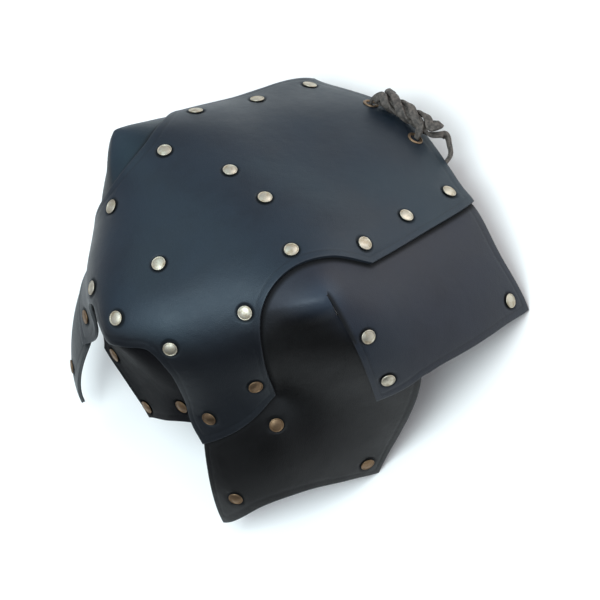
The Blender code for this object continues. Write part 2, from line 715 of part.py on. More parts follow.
def skirt_mesh(form, side, word, spread, holes, over):
    """A skirt of two halves: the flap at the neck and the tab at the arm, which sinks under the flap's edge."""
    lift, armward = tuck_lift(form, side, spread)
    sheet = Sheet(form, UNDER_OUTER, lift)
    flap = outline_points(FLAP_OUTLINE, side, spread)
    tab = outline_points(TAB_OUTLINE, side, spread)
    seam = [flap[-1] + (flap[0] - flap[-1]) * i / (SEAM_POINTS + 1) for i in range(SEAM_POINTS + 2)]
    keys = ["seam%d" % i for i in range(len(seam))]
    slit = [point + armward * SLIT_GAP for point in tab[1:3]]
    flap_path = seam + flap[1:-1]
    tab_path = list(reversed(seam)) + slit + tab[3:-1]
    sheet.add_half("flap", flap_path, [h for h in holes if in_half(form, h[0], flap_path)], keys, over)
    sheet.add_half("tab", tab_path, [h for h in holes if in_half(form, h[0], tab_path)], keys[::-1], over)
    return sheet.to_mesh("skirt_" + word)


def leather_meshes(form, holes):
    cap_edge = whole_outline(CAP_OUTLINE)
    arm_tab_edge = whole_outline(ARM_TAB_OUTLINE)
    meshes = [
        ("cap_plate", whole_mesh(form, "cap_plate", cap_edge, CAP_OUTER, holes["cap_plate"])),
        ("arm_tab", whole_mesh(form, "arm_tab", arm_tab_edge, UNDER_OUTER, holes["arm_tab"], cap_edge)),
    ]
    for (side, word), spread in zip(SIDES, SKIRT_SPREADS):
        name = "skirt_" + word
        meshes.append((name, skirt_mesh(form, side, word, spread, holes[name], cap_edge)))
    return meshes


def fastener_meshes(form, rivets, eyelets):
    meshes = []
    for name, centre, _, top, bottom in rivets:
        meshes.append((name, rivet_mesh(name, *form.at(centre), top, bottom)))
    for name, centre in eyelets:
        meshes.append((name, eyelet_mesh(name, *form.at(centre), CAP_OUTER, CAP_OUTER - LEATHER)))
    return meshes


def set_down(leather, lace):
    """Turns every piece to its rest on the skirt corners, with the box's bottom centre at the origin."""
    sheets = np.array([vertex.co for _, data in leather for vertex in data.vertices])
    turn = Matrix.Rotation(rest_turn(sheets), 4, "Y")
    level = np.array(turn.to_3x3()).T
    sheets, thong = sheets @ level, lace @ level
    low = np.minimum(sheets.min(0), thong.min(0) - LACE_RADIUS)
    high = np.maximum(sheets.max(0), thong.max(0) + LACE_RADIUS)
    shift = Matrix.Translation((-(low[0] + high[0]) / 2, -(low[1] + high[1]) / 2, -low[2]))
    for item in bpy.data.objects:
        item.data.transform(shift @ turn)


def build():
    clear_scene()
    form = LeatherForm()
    lifts = {word: tuck_lift(form, side, spread)[0] for (side, word), spread in zip(SIDES, SKIRT_SPREADS)}
    rivets = cap_rivets() + skirt_rivets(form, lifts) + arm_tab_rivets()
    eyelets = eyelet_places()
    leather = leather_meshes(form, holes_in_leather(rivets, eyelets))
    for name, data in leather:
        add_object(name, data, make_material(name, *MATERIALS["leather"]))
    for name, data in fastener_meshes(form, rivets, eyelets):
        add_object(name, data, make_material(name, *MATERIALS["brass"]))
    lace = lace_points()
    lace_object(lace)
    set_down(leather, lace)


build()
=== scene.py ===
# Leather shoulder guard: its leather pieces, brass rivets and eyelets, and thong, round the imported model
import math

import bpy
import numpy as np
from mathutils import Matrix, Vector
from mathutils.geometry import delaunay_2d_cdt


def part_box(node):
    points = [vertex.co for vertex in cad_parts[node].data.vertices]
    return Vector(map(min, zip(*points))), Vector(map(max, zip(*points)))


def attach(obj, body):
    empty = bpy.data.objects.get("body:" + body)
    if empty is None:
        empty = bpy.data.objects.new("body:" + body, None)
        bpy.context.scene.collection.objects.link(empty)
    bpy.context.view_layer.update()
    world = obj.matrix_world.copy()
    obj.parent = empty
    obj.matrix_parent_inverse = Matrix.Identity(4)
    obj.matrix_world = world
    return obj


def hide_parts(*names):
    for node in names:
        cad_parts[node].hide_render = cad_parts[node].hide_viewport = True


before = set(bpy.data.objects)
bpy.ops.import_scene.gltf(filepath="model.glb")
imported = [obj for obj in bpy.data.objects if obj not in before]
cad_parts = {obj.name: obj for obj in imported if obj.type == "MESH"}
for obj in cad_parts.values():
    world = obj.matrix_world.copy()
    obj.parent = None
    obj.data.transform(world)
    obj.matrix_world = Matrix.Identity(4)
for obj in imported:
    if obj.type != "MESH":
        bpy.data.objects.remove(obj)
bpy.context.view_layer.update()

# Metres, as the guard is worn: arm towards -X, front towards -Y, origin between the eyelets
guard = {
    "armReach": 0.236,        # eyelets to the tip of the cap
    "drop": 0.213,            # eyelets down to the lowest skirt corner
    "capSpread": 0.093,       # midline to the cap's widest point
    "skirtSpread": (0.140, 0.118),      # midline to the front and to the rear skirt's widest corner
    "leather": 0.0025,
    "layerGap": 0.0007,
    "centre": (0.42, 0.375),            # the hollow's centre: along and down, as shares
    "mapLean": math.radians(48),
    "softness": 0.004,
    # A crease runs armward from each dart's peak and fades out under the cap: its height, width and end
    "creaseLift": 0.0055,
    "creaseWidth": 0.032,
    "creaseEnd": (0.790, 0.800, 0.135),
}
capOuter = guard["layerGap"] / 2 + guard["leather"]
underOuter = -guard["layerGap"] / 2
frontRear = ((-1, "front"), (1, "rear"))

# The form's midline: along and down
midlineForm = [
    (-0.050, 0.003), (0.010, 0.000), (0.220, -0.020), (0.465, -0.024), (0.635, -0.005), (0.785, 0.094),
    (0.858, 0.160), (0.983, 0.305), (1.000, 0.366), (0.953, 0.423), (0.788, 0.790),
]
# Under the cap: along, across, down
capForm = [
    (0.034, 0.710, 0.052), (-0.008, 0.839, 0.075), (0.233, 0.763, 0.033), (0.436, 0.860, 0.019),
    (0.449, 0.978, 0.052), (0.636, 0.656, 0.014), (0.784, 0.677, 0.164), (0.928, 0.387, 0.319),
    (0.758, 0.817, 0.418), (0.822, 0.624, 0.573), (0.699, 0.892, 0.460), (0.822, 0.613, 0.685),
    (0.843, 0.398, 0.586),
]
# The skirts: along, front, rear, down
skirtForm = [
    (0.661, 0.714, 0.847, 0.042), (-0.013, 1.000, 1.000, 0.296), (0.059, 0.964, 0.960, 0.235),
    (0.580, 0.879, 0.930, 0.155), (0.525, 0.957, 0.980, 0.310), (0.487, 0.964, 0.980, 0.451),
    (0.411, 0.914, 0.980, 0.779), (0.742, 0.500, 0.600, 1.000), (0.716, 0.657, 0.760, 0.535),
]


def place(along, across, down):
    return np.array([-along * guard["armReach"], across, -down * guard["drop"]])


def smoothStep(value, low, high):
    t = np.clip((value - low) / (high - low), 0.0, 1.0)
    return t * t * (3 - 2 * t)


class LeatherForm:
    # A distance from the hollow's centre in each direction, by a thin plate spline over a flat map
    def __init__(self):
        lean = guard["mapLean"]
        self.centre = place(guard["centre"][0], 0.0, guard["centre"][1])
        self.up = np.array([-math.sin(lean), 0.0, math.cos(lean)])
        self.arm = np.array([-math.cos(lean), 0.0, -math.sin(lean)])
        self.front = np.array([0.0, -1.0, 0.0])
        points = [place(along, 0.0, down) for along, down in midlineForm]
        for along, across, down in capForm:
            points += [place(along, side * across * guard["capSpread"], down) for side in (-1, 1)]
        for along, front, rear, down in skirtForm:
            points.append(place(along, -front * guard["skirtSpread"][0], down))
            points.append(place(along, rear * guard["skirtSpread"][1], down))
        points = np.array(points)
        self.anchors = self.toMap(points)
        reach = np.linalg.norm(points - self.centre, axis=1)
        self.meanReach = reach.mean()
        self.creases = self.creaseLines()
        reach = reach - self.creaseLift(self.anchors)
        count = len(points)
        system = np.zeros((count + 3, count + 3))
        system[:count, :count] = self.kernel(self.anchors) + guard["softness"] * np.eye(count)
        system[:count, count] = 1.0
        system[:count, count + 1:] = self.anchors
        system[count:, :count] = system[:count, count:].T
        self.weights = np.linalg.solve(system, np.concatenate([reach, np.zeros(3)]))

    def creaseLines(self):
        along, front, rear, down = skirtForm[0]
        endAlong, endAcross, endDown = guard["creaseEnd"]
        lines = []
        for (side, _), share, spread in zip(frontRear, (front, rear), guard["skirtSpread"]):
            ends = [place(along, side * share * spread, down),
                    place(endAlong, side * endAcross * guard["capSpread"], endDown)]
            lines.append(self.toMap(np.array(ends)))
        return lines

    def creaseLift(self, spots):
        lift = np.zeros(len(spots))
        for start, end in self.creases:
            run = end - start
            share = np.clip((spots - start) @ run / (run @ run), 0.0, 1.0)
            away = np.linalg.norm(spots - start - share[:, None] * run, axis=1) * self.meanReach
            near = np.clip(1.0 - away / guard["creaseWidth"], 0.0, 1.0)
            lift += guard["creaseLift"] * (1.0 - share) * near ** 2
        return lift

    def kernel(self, spots):
        gap = ((spots[:, None, :] - self.anchors[None, :, :]) ** 2).sum(-1)
        return np.where(gap > 0, 0.5 * gap * np.log(np.maximum(gap, 1e-18)), 0.0)

    def toMap(self, points):
        way = points - self.centre
        way = way / np.linalg.norm(way, axis=1)[:, None]
        arm, front = way @ self.arm, way @ self.front
        flat = np.maximum(np.hypot(arm, front), 1e-12)
        angle = np.arctan2(flat, way @ self.up)
        return np.column_stack([arm, front]) * (angle / flat)[:, None]

    def fromMap(self, spots):
        angle = np.maximum(np.hypot(spots[:, 0], spots[:, 1]), 1e-12)
        share = np.sin(angle) / angle
        way = np.cos(angle)[:, None] * self.up + (share * spots[:, 0])[:, None] * self.arm
        way = way + (share * spots[:, 1])[:, None] * self.front
        bend, level, slope = np.split(self.weights, [-3, -2])
        reach = self.kernel(spots) @ bend + level + spots @ slope
        return self.centre + (reach + self.creaseLift(spots))[:, None] * way

    def face(self, spots):
        step = 1e-4
        points = self.fromMap(spots)
        one = self.fromMap(spots + [step, 0.0]) - points
        two = self.fromMap(spots + [0.0, step]) - points
        normals = np.cross(one, two)
        normals /= np.linalg.norm(normals, axis=1)[:, None]
        return points, normals * np.sign((normals * (points - self.centre)).sum(1))[:, None]

    def at(self, point):
        points, normals = self.face(self.toMap(np.array([point])))
        return points[0], normals[0]


# Outlines: kind, along, front, rear, down. A bend is on a smooth curve between two corners.
# A skirt's cap corners and cap bends lie under the cap, with widths as shares of the cap's spread.
capOutline = [
    ("corner", -0.059, 0.000, 0.000, 0.003), ("bend", -0.056, 0.300, 0.300, 0.010),
    ("bend", -0.030, 0.600, 0.580, 0.040), ("corner", -0.003, 0.857, 0.785, 0.066),
    ("corner", 0.462, 1.000, 0.985, 0.040), ("bend", 0.570, 0.880, 0.880, -0.003),
    ("bend", 0.669, 0.785, 0.785, 0.015), ("bend", 0.743, 0.763, 0.763, 0.077),
    ("bend", 0.778, 0.806, 0.806, 0.171), ("bend", 0.760, 0.882, 0.882, 0.320),
    ("corner", 0.709, 0.914, 0.914, 0.449), ("corner", 0.831, 0.634, 0.634, 0.675),
    ("bend", 0.835, 0.500, 0.500, 0.605), ("bend", 0.869, 0.452, 0.452, 0.504),
    ("bend", 0.923, 0.409, 0.409, 0.403), ("bend", 0.967, 0.280, 0.280, 0.338),
    ("bend", 0.995, 0.130, 0.130, 0.355), ("corner", 1.005, 0.000, 0.000, 0.375),
]
armTabOutline = [
    ("corner", 0.508, 0.000, 0.000, -0.014), ("corner", 0.508, 0.323, 0.323, -0.010),
    ("bend", 0.805, 0.452, 0.452, 0.155), ("bend", 0.915, 0.484, 0.450, 0.320),
    ("bend", 0.864, 0.520, 0.430, 0.490), ("corner", 0.830, 0.559, 0.410, 0.610),
    ("bend", 0.833, 0.426, 0.280, 0.644), ("bend", 0.830, 0.319, 0.200, 0.677),
    ("bend", 0.815, 0.182, 0.110, 0.725), ("corner", 0.787, 0.000, 0.000, 0.790),
]
flapOutline = [
    ("cap corner", 0.542, 0.581, 0.581, -0.005), ("cap corner", 0.233, 0.623, 0.584, 0.010),
    ("cap corner", 0.017, 0.602, 0.546, 0.034), ("cap corner", 0.000, 0.846, 0.780, 0.072),
    ("bend", 0.017, 0.809, 0.825, 0.159), ("corner", -0.013, 1.000, 1.000, 0.297),
    ("bend", 0.119, 1.030, 1.010, 0.282), ("bend", 0.331, 1.040, 1.017, 0.296),
    ("corner", 0.418, 1.023, 1.000, 0.322), ("corner", 0.524, 0.937, 0.970, 0.412),
    ("corner", 0.656, 0.709, 0.847, 0.042),
]
tabOutline = [
    ("corner", 0.656, 0.709, 0.847, 0.042), ("corner", 0.634, 0.749, 0.864, 0.108),
    ("corner", 0.525, 0.786, 0.890, 0.094), ("corner", 0.403, 0.979, 0.975, 0.225),
    ("corner", 0.415, 1.005, 0.990, 0.345), ("corner", 0.410, 0.911, 0.980, 0.784),
    ("bend", 0.515, 0.872, 0.945, 0.767), ("bend", 0.633, 0.791, 0.865, 0.784),
    ("bend", 0.716, 0.671, 0.765, 0.862), ("corner", 0.739, 0.498, 0.600, 1.003),
    ("cap corner", 0.822, 0.619, 0.619, 0.690), ("cap bend", 0.843, 0.571, 0.571, 0.554),
    ("cap bend", 0.860, 0.571, 0.571, 0.399), ("cap bend", 0.805, 0.581, 0.581, 0.188),
    ("cap bend", 0.657, 0.516, 0.516, 0.020), ("cap corner", 0.542, 0.581, 0.581, -0.005),
]
slit = {"gap": 0.0003, "tuckStart": 0.004, "tuckFull": 0.018, "tuckHold": 0.006, "tuckFade": 0.045}

sheets = {
    "grid": 0.0026,           # spacing of the points inside a leather piece
    "gridRise": 0.866,        # from one row of them to the next, as a share of the spacing
    "gridInset": 0.0016,      # how far they keep from its edge
    "edgeStep": 0.0016,       # spacing of the points along the edge
    "edgeRow": 0.0009,        # a row of points beside the edge
    "edgeRowStep": 0.7,       # its spacing, and the tooled line's, as shares of the grid
    "lineRowStep": 0.8,
    "edgeRound": 0.0006,
    "edgeAngle": math.radians(55),
    "lineInset": 0.0046,      # tooled line, in from the edge
    "lineWidth": 0.0005,
    "lineDepth": 0.00016,
    "lineRows": (-1.6, 0.0, 1.6),       # rows of points along it, in line widths
    "lineClear": 2.6,
    "dimpleReach": 0.0080,    # the leather sinks a little round each rivet
    "dimpleDepth": 0.00040,
    "pitReach": (0.0051, 0.0063),       # and is pressed in along the head's rim
    "pitDepth": 0.0007,
    "pitRings": (0.0047, 0.0051, 0.0057, 0.0063, 0.0072),
    "pitSides": 26,
    "pitMargin": 0.0008,      # a ring's points keep this far from the edge
    "pitClear": 0.0009,       # and the others this far from the last ring
}

# Height as worn below which the leather is painted dark and the brass painted brown, both as painted shade
lowShade = {"lowStart": -0.085, "lowPull": 25.0, "brassMiddle": -0.0775, "brassPull": 40.0}


def splitLine(run, step):
    start, end = run
    steps = max(1, round(np.linalg.norm(end - start) / step))
    return [start + (end - start) * i / steps for i in range(1, steps + 1)]


def splitCurve(run, step):
    # Catmull-Rom through the run's points
    padded = [2 * run[0] - run[1]] + list(run) + [2 * run[-1] - run[-2]]
    path = []
    for a, b, c, d in zip(padded, padded[1:], padded[2:], padded[3:]):
        steps = max(2, round(np.linalg.norm(c - b) / step))
        for i in range(1, steps + 1):
            t = i / steps
            path.append(0.5 * (2 * b + (c - a) * t + (2 * a - 5 * b + 4 * c - d) * t * t
                               + (3 * b - a - 3 * c + d) * t ** 3))
    return path


def outlineSpot(row, side, spread):
    kind, along, front, rear, down = row
    width = guard["capSpread"] if kind.startswith("cap") else spread
    return place(along, side * (front if side < 0 else rear) * width, down)


def outlinePoints(rows, side, spread):
    spots = [outlineSpot(row, side, spread) for row in rows]
    corners = [i for i, row in enumerate(rows) if row[0].endswith("corner")]
    path = [spots[corners[0]]]
    for first, last in zip(corners, corners[1:]):
        run = spots[first:last + 1]
        path += splitLine(run, sheets["edgeStep"]) if len(run) == 2 else splitCurve(run, sheets["edgeStep"])
    return path


def wholeOutline(rows):
    front = outlinePoints(rows, -1, guard["capSpread"])
    rear = outlinePoints(rows, 1, guard["capSpread"])
    return front + rear[-2:0:-1]


def isInside(spots, outline):
    start, end = outline, np.roll(outline, -1, axis=0)
    x, y = spots[:, 0][:, None], spots[:, 1][:, None]
    crosses = (start[:, 1] > y) != (end[:, 1] > y)
    rise = np.where(end[:, 1] == start[:, 1], 1e-12, end[:, 1] - start[:, 1])
    cut = start[:, 0] + (y - start[:, 1]) * (end[:, 0] - start[:, 0]) / rise
    return (crosses & (x < cut)).sum(1) % 2 == 1


def edgeDistance(spots, line, closed=True, batch=4000):
    start, end = line, np.roll(line, -1, axis=0)
    if not closed:
        start, end = line[:-1], line[1:]
    run = end - start
    best = np.full(len(spots), np.inf)
    for first in range(0, len(spots), batch):
        offset = spots[first:first + batch, None, :] - start[None, :, :]
        share = np.clip((offset * run).sum(-1) / np.maximum((run ** 2).sum(-1), 1e-18), 0, 1)
        best[first:first + batch] = np.linalg.norm(offset - share[..., None] * run, axis=-1).min(1)
    return best


def insetSpots(outline, inset, step):
    # Points on a line inside the outline, at one distance from it
    ring = np.vstack([outline, outline[:1]])
    reach = np.concatenate([[0.0], np.cumsum(np.linalg.norm(np.diff(ring, axis=0), axis=1))])
    stops = np.arange(0.0, reach[-1], step)
    spots = np.column_stack([np.interp(stops, reach, ring[:, axis]) for axis in (0, 1)])
    run = np.roll(spots, -1, axis=0) - np.roll(spots, 1, axis=0)
    run /= np.maximum(np.linalg.norm(run, axis=1), 1e-12)[:, None]
    across = np.column_stack([-run[:, 1], run[:, 0]])
    found = []
    for way in (1, -1):
        moved = spots + way * inset * across
        good = isInside(moved, outline) & (edgeDistance(moved, outline) > inset * 0.985)
        found.append(moved[good])
    return np.vstack(found)


def skyShare(half, points, normals):
    # How far the leather faces the sky as worn, which sets how much painted shade it gets; low on the arm it
    # counts as turned away
    if half == "flap":
        return np.ones(len(points))
    return normals[:, 2] - lowShade["lowPull"] * np.maximum(0.0, lowShade["lowStart"] - points[:, 2])


def meshObject(name, points, edges=(), faces=(), **marks):
    # A linked mesh with its point attributes, each a number or a vector to a point
    data = bpy.data.meshes.new(name)
    data.from_pydata([tuple(point) for point in points], edges, faces)
    for label, values in marks.items():
        values = np.array(values, dtype=np.float32)
        kind, key = ("FLOAT_VECTOR", "vector") if values.ndim == 2 else ("FLOAT", "value")
        data.attributes.new(label, kind, "POINT").data.foreach_set(key, values.ravel())
    item = bpy.data.objects.new(name, data)
    bpy.context.collection.objects.link(item)
    return item


class FineSheet:
    # A leather piece of one or two halves on the form's map, as a closed wall with its edge distance kept
    def __init__(self, form, outer, layer, rivetSeats):
        self.form, self.outer, self.layer, self.rivetSeats = form, outer, layer, np.array(rivetSeats)
        self.tops, self.bottoms, self.triangles, self.keys = [], [], [], {}
        self.marks = {"edgeGap": [], "rivetGap": [], "skyward": [], "ridge": [], "shadowGap": []}

    def rivetRings(self, outline):
        # Points round each rivet, and a test that keeps others out of them
        seats = self.form.toMap(self.rivetSeats)
        depths = np.linalg.norm(self.rivetSeats - self.form.centre, axis=1)
        turns = np.arange(sheets["pitSides"]) * 2 * math.pi / sheets["pitSides"]
        circle = np.column_stack([np.cos(turns), np.sin(turns)])
        rings = np.vstack([seat + circle * radius / depth
                           for seat, depth in zip(seats, depths) for radius in sheets["pitRings"]])
        margin = sheets["pitMargin"] / self.form.meanReach
        rings = rings[isInside(rings, outline) & (edgeDistance(rings, outline) > margin)]
        clear = (sheets["pitRings"][-1] + sheets["pitClear"]) / depths

        def isClear(spots):
            return (np.linalg.norm(spots[:, None] - seats[None], axis=2) > clear[None]).all(1)

        return rings, isClear

    def innerSpots(self, outline):
        # Rows beside the tooled line and the edge, rings round the rivets, and a triangular grid
        scale = self.form.meanReach
        grid, inset, lineWidth = (sheets[label] / scale for label in ("grid", "lineInset", "lineWidth"))
        lineStep, edgeStep = grid * sheets["lineRowStep"], grid * sheets["edgeRowStep"]
        rows = [insetSpots(outline, inset + shift * lineWidth, lineStep) for shift in sheets["lineRows"]]
        rows = np.vstack(rows + [insetSpots(outline, sheets["edgeRow"] / scale, edgeStep)])
        pits, isClear = self.rivetRings(outline)
        low, high = outline.min(0), outline.max(0)
        rise = grid * sheets["gridRise"]
        columns = np.arange(math.floor(low[0] / grid) - 1, math.ceil(high[0] / grid) + 1)
        lattice = np.vstack([
            np.column_stack([(columns + 0.5 * (row % 2)) * grid, np.full(len(columns), row * rise)])
            for row in range(math.floor(low[1] / rise), math.ceil(high[1] / rise) + 1)])
        lattice = lattice[isInside(lattice, outline)]
        gap = edgeDistance(lattice, outline)
        offLine = np.abs(gap - inset) > sheets["lineClear"] * lineWidth
        lattice = lattice[(gap > sheets["gridInset"] / scale) & offLine & isClear(lattice)]
        return np.vstack([rows[isClear(rows)], pits, lattice])

    def lineGap(self, spots, lines):
        # Distance in metres to the nearest of some lines on the leather
        gap = np.full(len(spots), 1.0)
        for line in lines:
            away = edgeDistance(spots, self.form.toMap(np.array(line)), False)
            gap = np.minimum(gap, away * self.form.meanReach)
        return gap

    def addHalf(self, half, path, lines, shared=(), shadows=()):
        outline = self.form.toMap(np.array(path))
        spots = np.vstack([outline, self.innerSpots(outline)])
        points, normals = self.form.face(spots)
        edgeGap = self.lineGap(spots, lines)
        rivetGap = np.linalg.norm(points[:, None] - self.rivetSeats[None], axis=2).min(1)
        dimple = sheets["dimpleDepth"] * (1.0 - smoothStep(rivetGap, 0.0, sheets["dimpleReach"]))
        pit = sheets["pitDepth"] * (1.0 - smoothStep(rivetGap, *sheets["pitReach"]))
        groove = sheets["lineDepth"] * np.exp(-((edgeGap - sheets["lineInset"]) / sheets["lineWidth"]) ** 2)
        lift = self.layer(half, points) + self.outer - dimple
        marks = {"edgeGap": edgeGap, "rivetGap": rivetGap, "skyward": skyShare(half, points, normals),
                 "ridge": self.form.creaseLift(spots) / guard["creaseLift"],
                 "shadowGap": self.lineGap(spots, shadows)}
        index = []
        for i in range(len(spots)):
            key = shared[i] if i < len(shared) else None
            if key in self.keys:
                index.append(self.keys[key])
                continue
            self.tops.append(points[i] + normals[i] * (lift[i] - groove[i] - pit[i]))
            self.bottoms.append(points[i] + normals[i] * (lift[i] - guard["leather"]))
            for label, values in marks.items():
                self.marks[label].append(values[i])
            index.append(len(self.tops) - 1)
            if key is not None:
                self.keys[key] = index[-1]
        count = len(outline)
        rim = [(i, (i + 1) % count) for i in range(count)]
        result = delaunay_2d_cdt([Vector(spot) for spot in spots], rim, [], 0, 1e-7, True)
        source = [ids[0] for ids in result[3]]
        corners = np.array([[source[i] for i in face] for face in result[2] if len(face) == 3])
        a, b, c = spots[corners[:, 0]], spots[corners[:, 1]], spots[corners[:, 2]]
        turn = (b - a)[:, 0] * (c - a)[:, 1] - (b - a)[:, 1] * (c - a)[:, 0]
        corners[turn < 0] = corners[turn < 0][:, ::-1]
        corners = corners[isInside((a + b + c) / 3, outline) & (np.abs(turn) > 1e-12)]
        self.triangles += [[index[i] for i in row] for row in corners]

    def toObject(self, name, turn):
        count = len(self.tops)
        faces = list(self.triangles) + [[i + count for i in reversed(row)] for row in self.triangles]
        rims = set()
        for row in self.triangles:
            rims.update(zip(row, row[1:] + row[:1]))
        faces += [(j, i, i + count, j + count) for i, j in rims if (j, i) not in rims]
        points = np.vstack([self.tops, self.bottoms])
        points = points @ np.array(turn.to_3x3()).T + np.array(turn.to_translation())
        marks = {label: values + values for label, values in self.marks.items()}
        return meshObject(name, points, faces=faces, innerSide=[0.0] * count + [1.0] * count, **marks)


# Rivets: name, what the cap's rivet holds, along, front, rear, down
capRivets = [
    ("neck", "skirt", 0.055, 0.739, 0.690, 0.038), ("edge", "skirt", 0.249, 0.792, 0.722, 0.024),
    ("arch", "skirt", 0.449, 0.870, 0.820, 0.011), ("crown", "skirt", 0.643, 0.665, 0.630, 0.004),
    ("ridge", "arm_tab", 0.578, 0.205, 0.150, -0.027), ("shoulder", "skirt", 0.794, 0.690, 0.650, 0.155),
    ("arm", "arm_tab", 0.940, 0.398, 0.355, 0.309), ("side_upper", "skirt", 0.767, 0.835, 0.835, 0.407),
    ("side_lower", "skirt", 0.832, 0.643, 0.643, 0.564),
    ("upper_arm_middle", "arm_tab", 0.863, 0.0, 0.0, 0.149),
    ("cap_tip_middle", "arm_tab", 0.990, 0.0, 0.0, 0.293),
]
skirtRivets = [
    ("dart_upper", 0.579, 0.879, 0.930, 0.157), ("dart_lower", 0.517, 0.961, 0.975, 0.318),
    ("flap_corner", 0.061, 0.968, 0.955, 0.238), ("skirt_corner", 0.470, 0.906, 0.960, 0.715),
    ("skirt_arm", 0.770, 0.585, 0.650, 0.850), ("skirt_middle", 0.715, 0.655, 0.760, 0.537),
]
armTabRivets = [("arm_tab_side", 0.843, 0.398, 0.270, 0.586), ("arm_tab_tip_middle", 0.789, 0.0, 0.0, 0.724)]
eyeletSpots = [("eyelet_front", 0.006, -0.240, 0.0), ("eyelet_rear", 0.006, 0.210, 0.0)]


def rivetPlaces(name, along, front, rear, down, spreads):
    if front == 0:
        return [("rivet_" + name, "", place(along, 0.0, down))]
    return [("rivet_%s_%s" % (name, word), word, place(along, side * share * spread, down))
            for (side, word), share, spread in zip(frontRear, (front, rear), spreads)]


def tuckLift(form, side, spread):
    # How far a skirt's tab sinks under its flap beside the slit
    peak = form.at(outlineSpot(flapOutline[-1], side, spread))[0]
    tip, normal = form.at(outlineSpot(flapOutline[-2], side, spread))
    down = (tip - peak) / np.linalg.norm(tip - peak)
    armward = np.cross(normal, down) * -side
    if armward[0] > 0:
        armward = -armward

    def lift(half, points):
        if half == "flap":
            return np.zeros(len(points))
        away = points - peak
        depth = smoothStep(away @ down, slit["tuckStart"], slit["tuckFull"])
        fade = 1.0 - smoothStep(away @ armward, slit["tuckHold"], slit["tuckFade"])
        return -(guard["leather"] + guard["layerGap"]) * depth * fade

    return lift, armward


form = LeatherForm()
lifts = {word: tuckLift(form, side, spread) for (side, word), spread in zip(frontRear, guard["skirtSpread"])}


def rivetRows():
    # Each rivet: node, centre, the pieces that it holds, and its leather's outer and inner height
    capPair = (guard["capSpread"],) * 2
    rows = []
    for name, under, *spot in capRivets:
        for node, word, centre in rivetPlaces(name, *spot, capPair):
            held = "arm_tab" if under == "arm_tab" else "skirt_" + word
            rows.append((node, centre, ("cap_plate", held), capOuter, underOuter - guard["leather"]))
    for name, *spot in skirtRivets:
        for node, word, centre in rivetPlaces(name, *spot, guard["skirtSpread"]):
            sink = lifts[word][0]("tab", form.at(centre)[0][None])[0]
            top = underOuter if name.startswith(("dart", "flap")) else underOuter + sink
            bottom = underOuter - guard["leather"] + (0.0 if name.startswith("flap") else sink)
            rows.append((node, centre, ("skirt_" + word,), top, bottom))
    for name, *spot in armTabRivets:
        for node, word, centre in rivetPlaces(name, *spot, capPair):
            rows.append((node, centre, ("arm_tab",), underOuter, underOuter - guard["leather"]))
    return rows


rivets = rivetRows()


def boxMiddle(node):
    low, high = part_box(node)
    return (Vector(low) + Vector(high)) / 2


def restingPlace():
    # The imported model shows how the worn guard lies: its lowest points level, its box centred on the origin
    nodes = ("rivet_neck_front", "rivet_cap_tip_middle")
    front, tip = (boxMiddle(node) for node in nodes)
    spots = {row[0]: row for row in rivets}
    worn = []
    for node in nodes:
        seat, normal = form.at(spots[node][1])
        worn.append(Vector(seat + normal * (spots[node][3] + spots[node][4]) / 2))
    wornAngle = math.atan2((worn[1] - worn[0]).z, (worn[1] - worn[0]).x)
    restAngle = math.atan2((tip - front).z, (tip - front).x)
    turn = Matrix.Rotation(wornAngle - restAngle, 4, "Y")
    return Matrix.Translation(front - turn @ worn[0]) @ turn


rest = restingPlace()
print("resting turn", round(math.degrees(rest.to_euler().y), 2))


def buildLeather():
    seats = {}
    for node, centre, pieces, top, bottom in rivets:
        for piece in pieces:
            seats.setdefault(piece, []).append(form.at(centre)[0])
    made = {}
    capEdge = wholeOutline(capOutline)
    # Painted shadow: the pieces under the cap are painted darker along its edge, and the flap along its slit
    # edge
    capShadowEdge = capEdge + capEdge[:1]        # the pieces under the cap are darker along its edge
    armTabEdge = wholeOutline(armTabOutline)
    for name, path, outer, shadows in (("cap_plate", capEdge, capOuter, []),
                                       ("arm_tab", armTabEdge, underOuter, [capShadowEdge])):
        sheet = FineSheet(form, outer, lambda half, points: np.zeros(len(points)), seats[name])
        sheet.addHalf("whole", path, [path + path[:1]], shadows=shadows)
        made[name] = sheet.toObject(name + "_leather", rest)
    for (side, word), spread in zip(frontRear, guard["skirtSpread"]):
        lift, armward = lifts[word]
        sheet = FineSheet(form, underOuter, lift, seats["skirt_" + word])
        flap = outlinePoints(flapOutline, side, spread)
        tab = outlinePoints(tabOutline, side, spread)
        steps = round(np.linalg.norm(flap[0] - flap[-1]) / sheets["edgeStep"])
        seam = [flap[-1] + (flap[0] - flap[-1]) * i / steps for i in range(steps + 1)]
        keys = ["seam%d" % i for i in range(len(seam))]
        tuckCorner = outlineSpot(tabOutline[2], side, spread)
        tuckEnd = next(i for i, point in enumerate(tab) if np.allclose(point, tuckCorner))
        tabRun = [point + armward * slit["gap"] for point in tab[1:tuckEnd + 1]]
        slitSteps = round(np.linalg.norm(tab[tuckEnd] - tab[0]) / sheets["edgeStep"])
        # The flap's slit edge carries a painted shadow
        slitShadowEdge = flap[-slitSteps - 1:]
        sheet.addHalf("flap", seam + flap[1:-1], [flap[:-slitSteps]], keys, [capShadowEdge, slitShadowEdge])
        sheet.addHalf("tab", seam[::-1] + tabRun + tab[tuckEnd + 1:-1], [tab[tuckEnd:]], keys[::-1], [capShadowEdge])
        made["skirt_" + word] = sheet.toObject("skirt_%s_leather" % word, rest)
    for node, item in made.items():
        for polygon in item.data.polygons:
            polygon.use_smooth = True
        bevel = item.modifiers.new("edge", "BEVEL")
        bevel.width = sheets["edgeRound"]
        bevel.segments = 2
        bevel.limit_method = "ANGLE"
        bevel.angle_limit = sheets["edgeAngle"]
        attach(item, "root")
        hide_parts(node)
        print("leather", node, len(item.data.polygons))
    return made


leather = buildLeather()


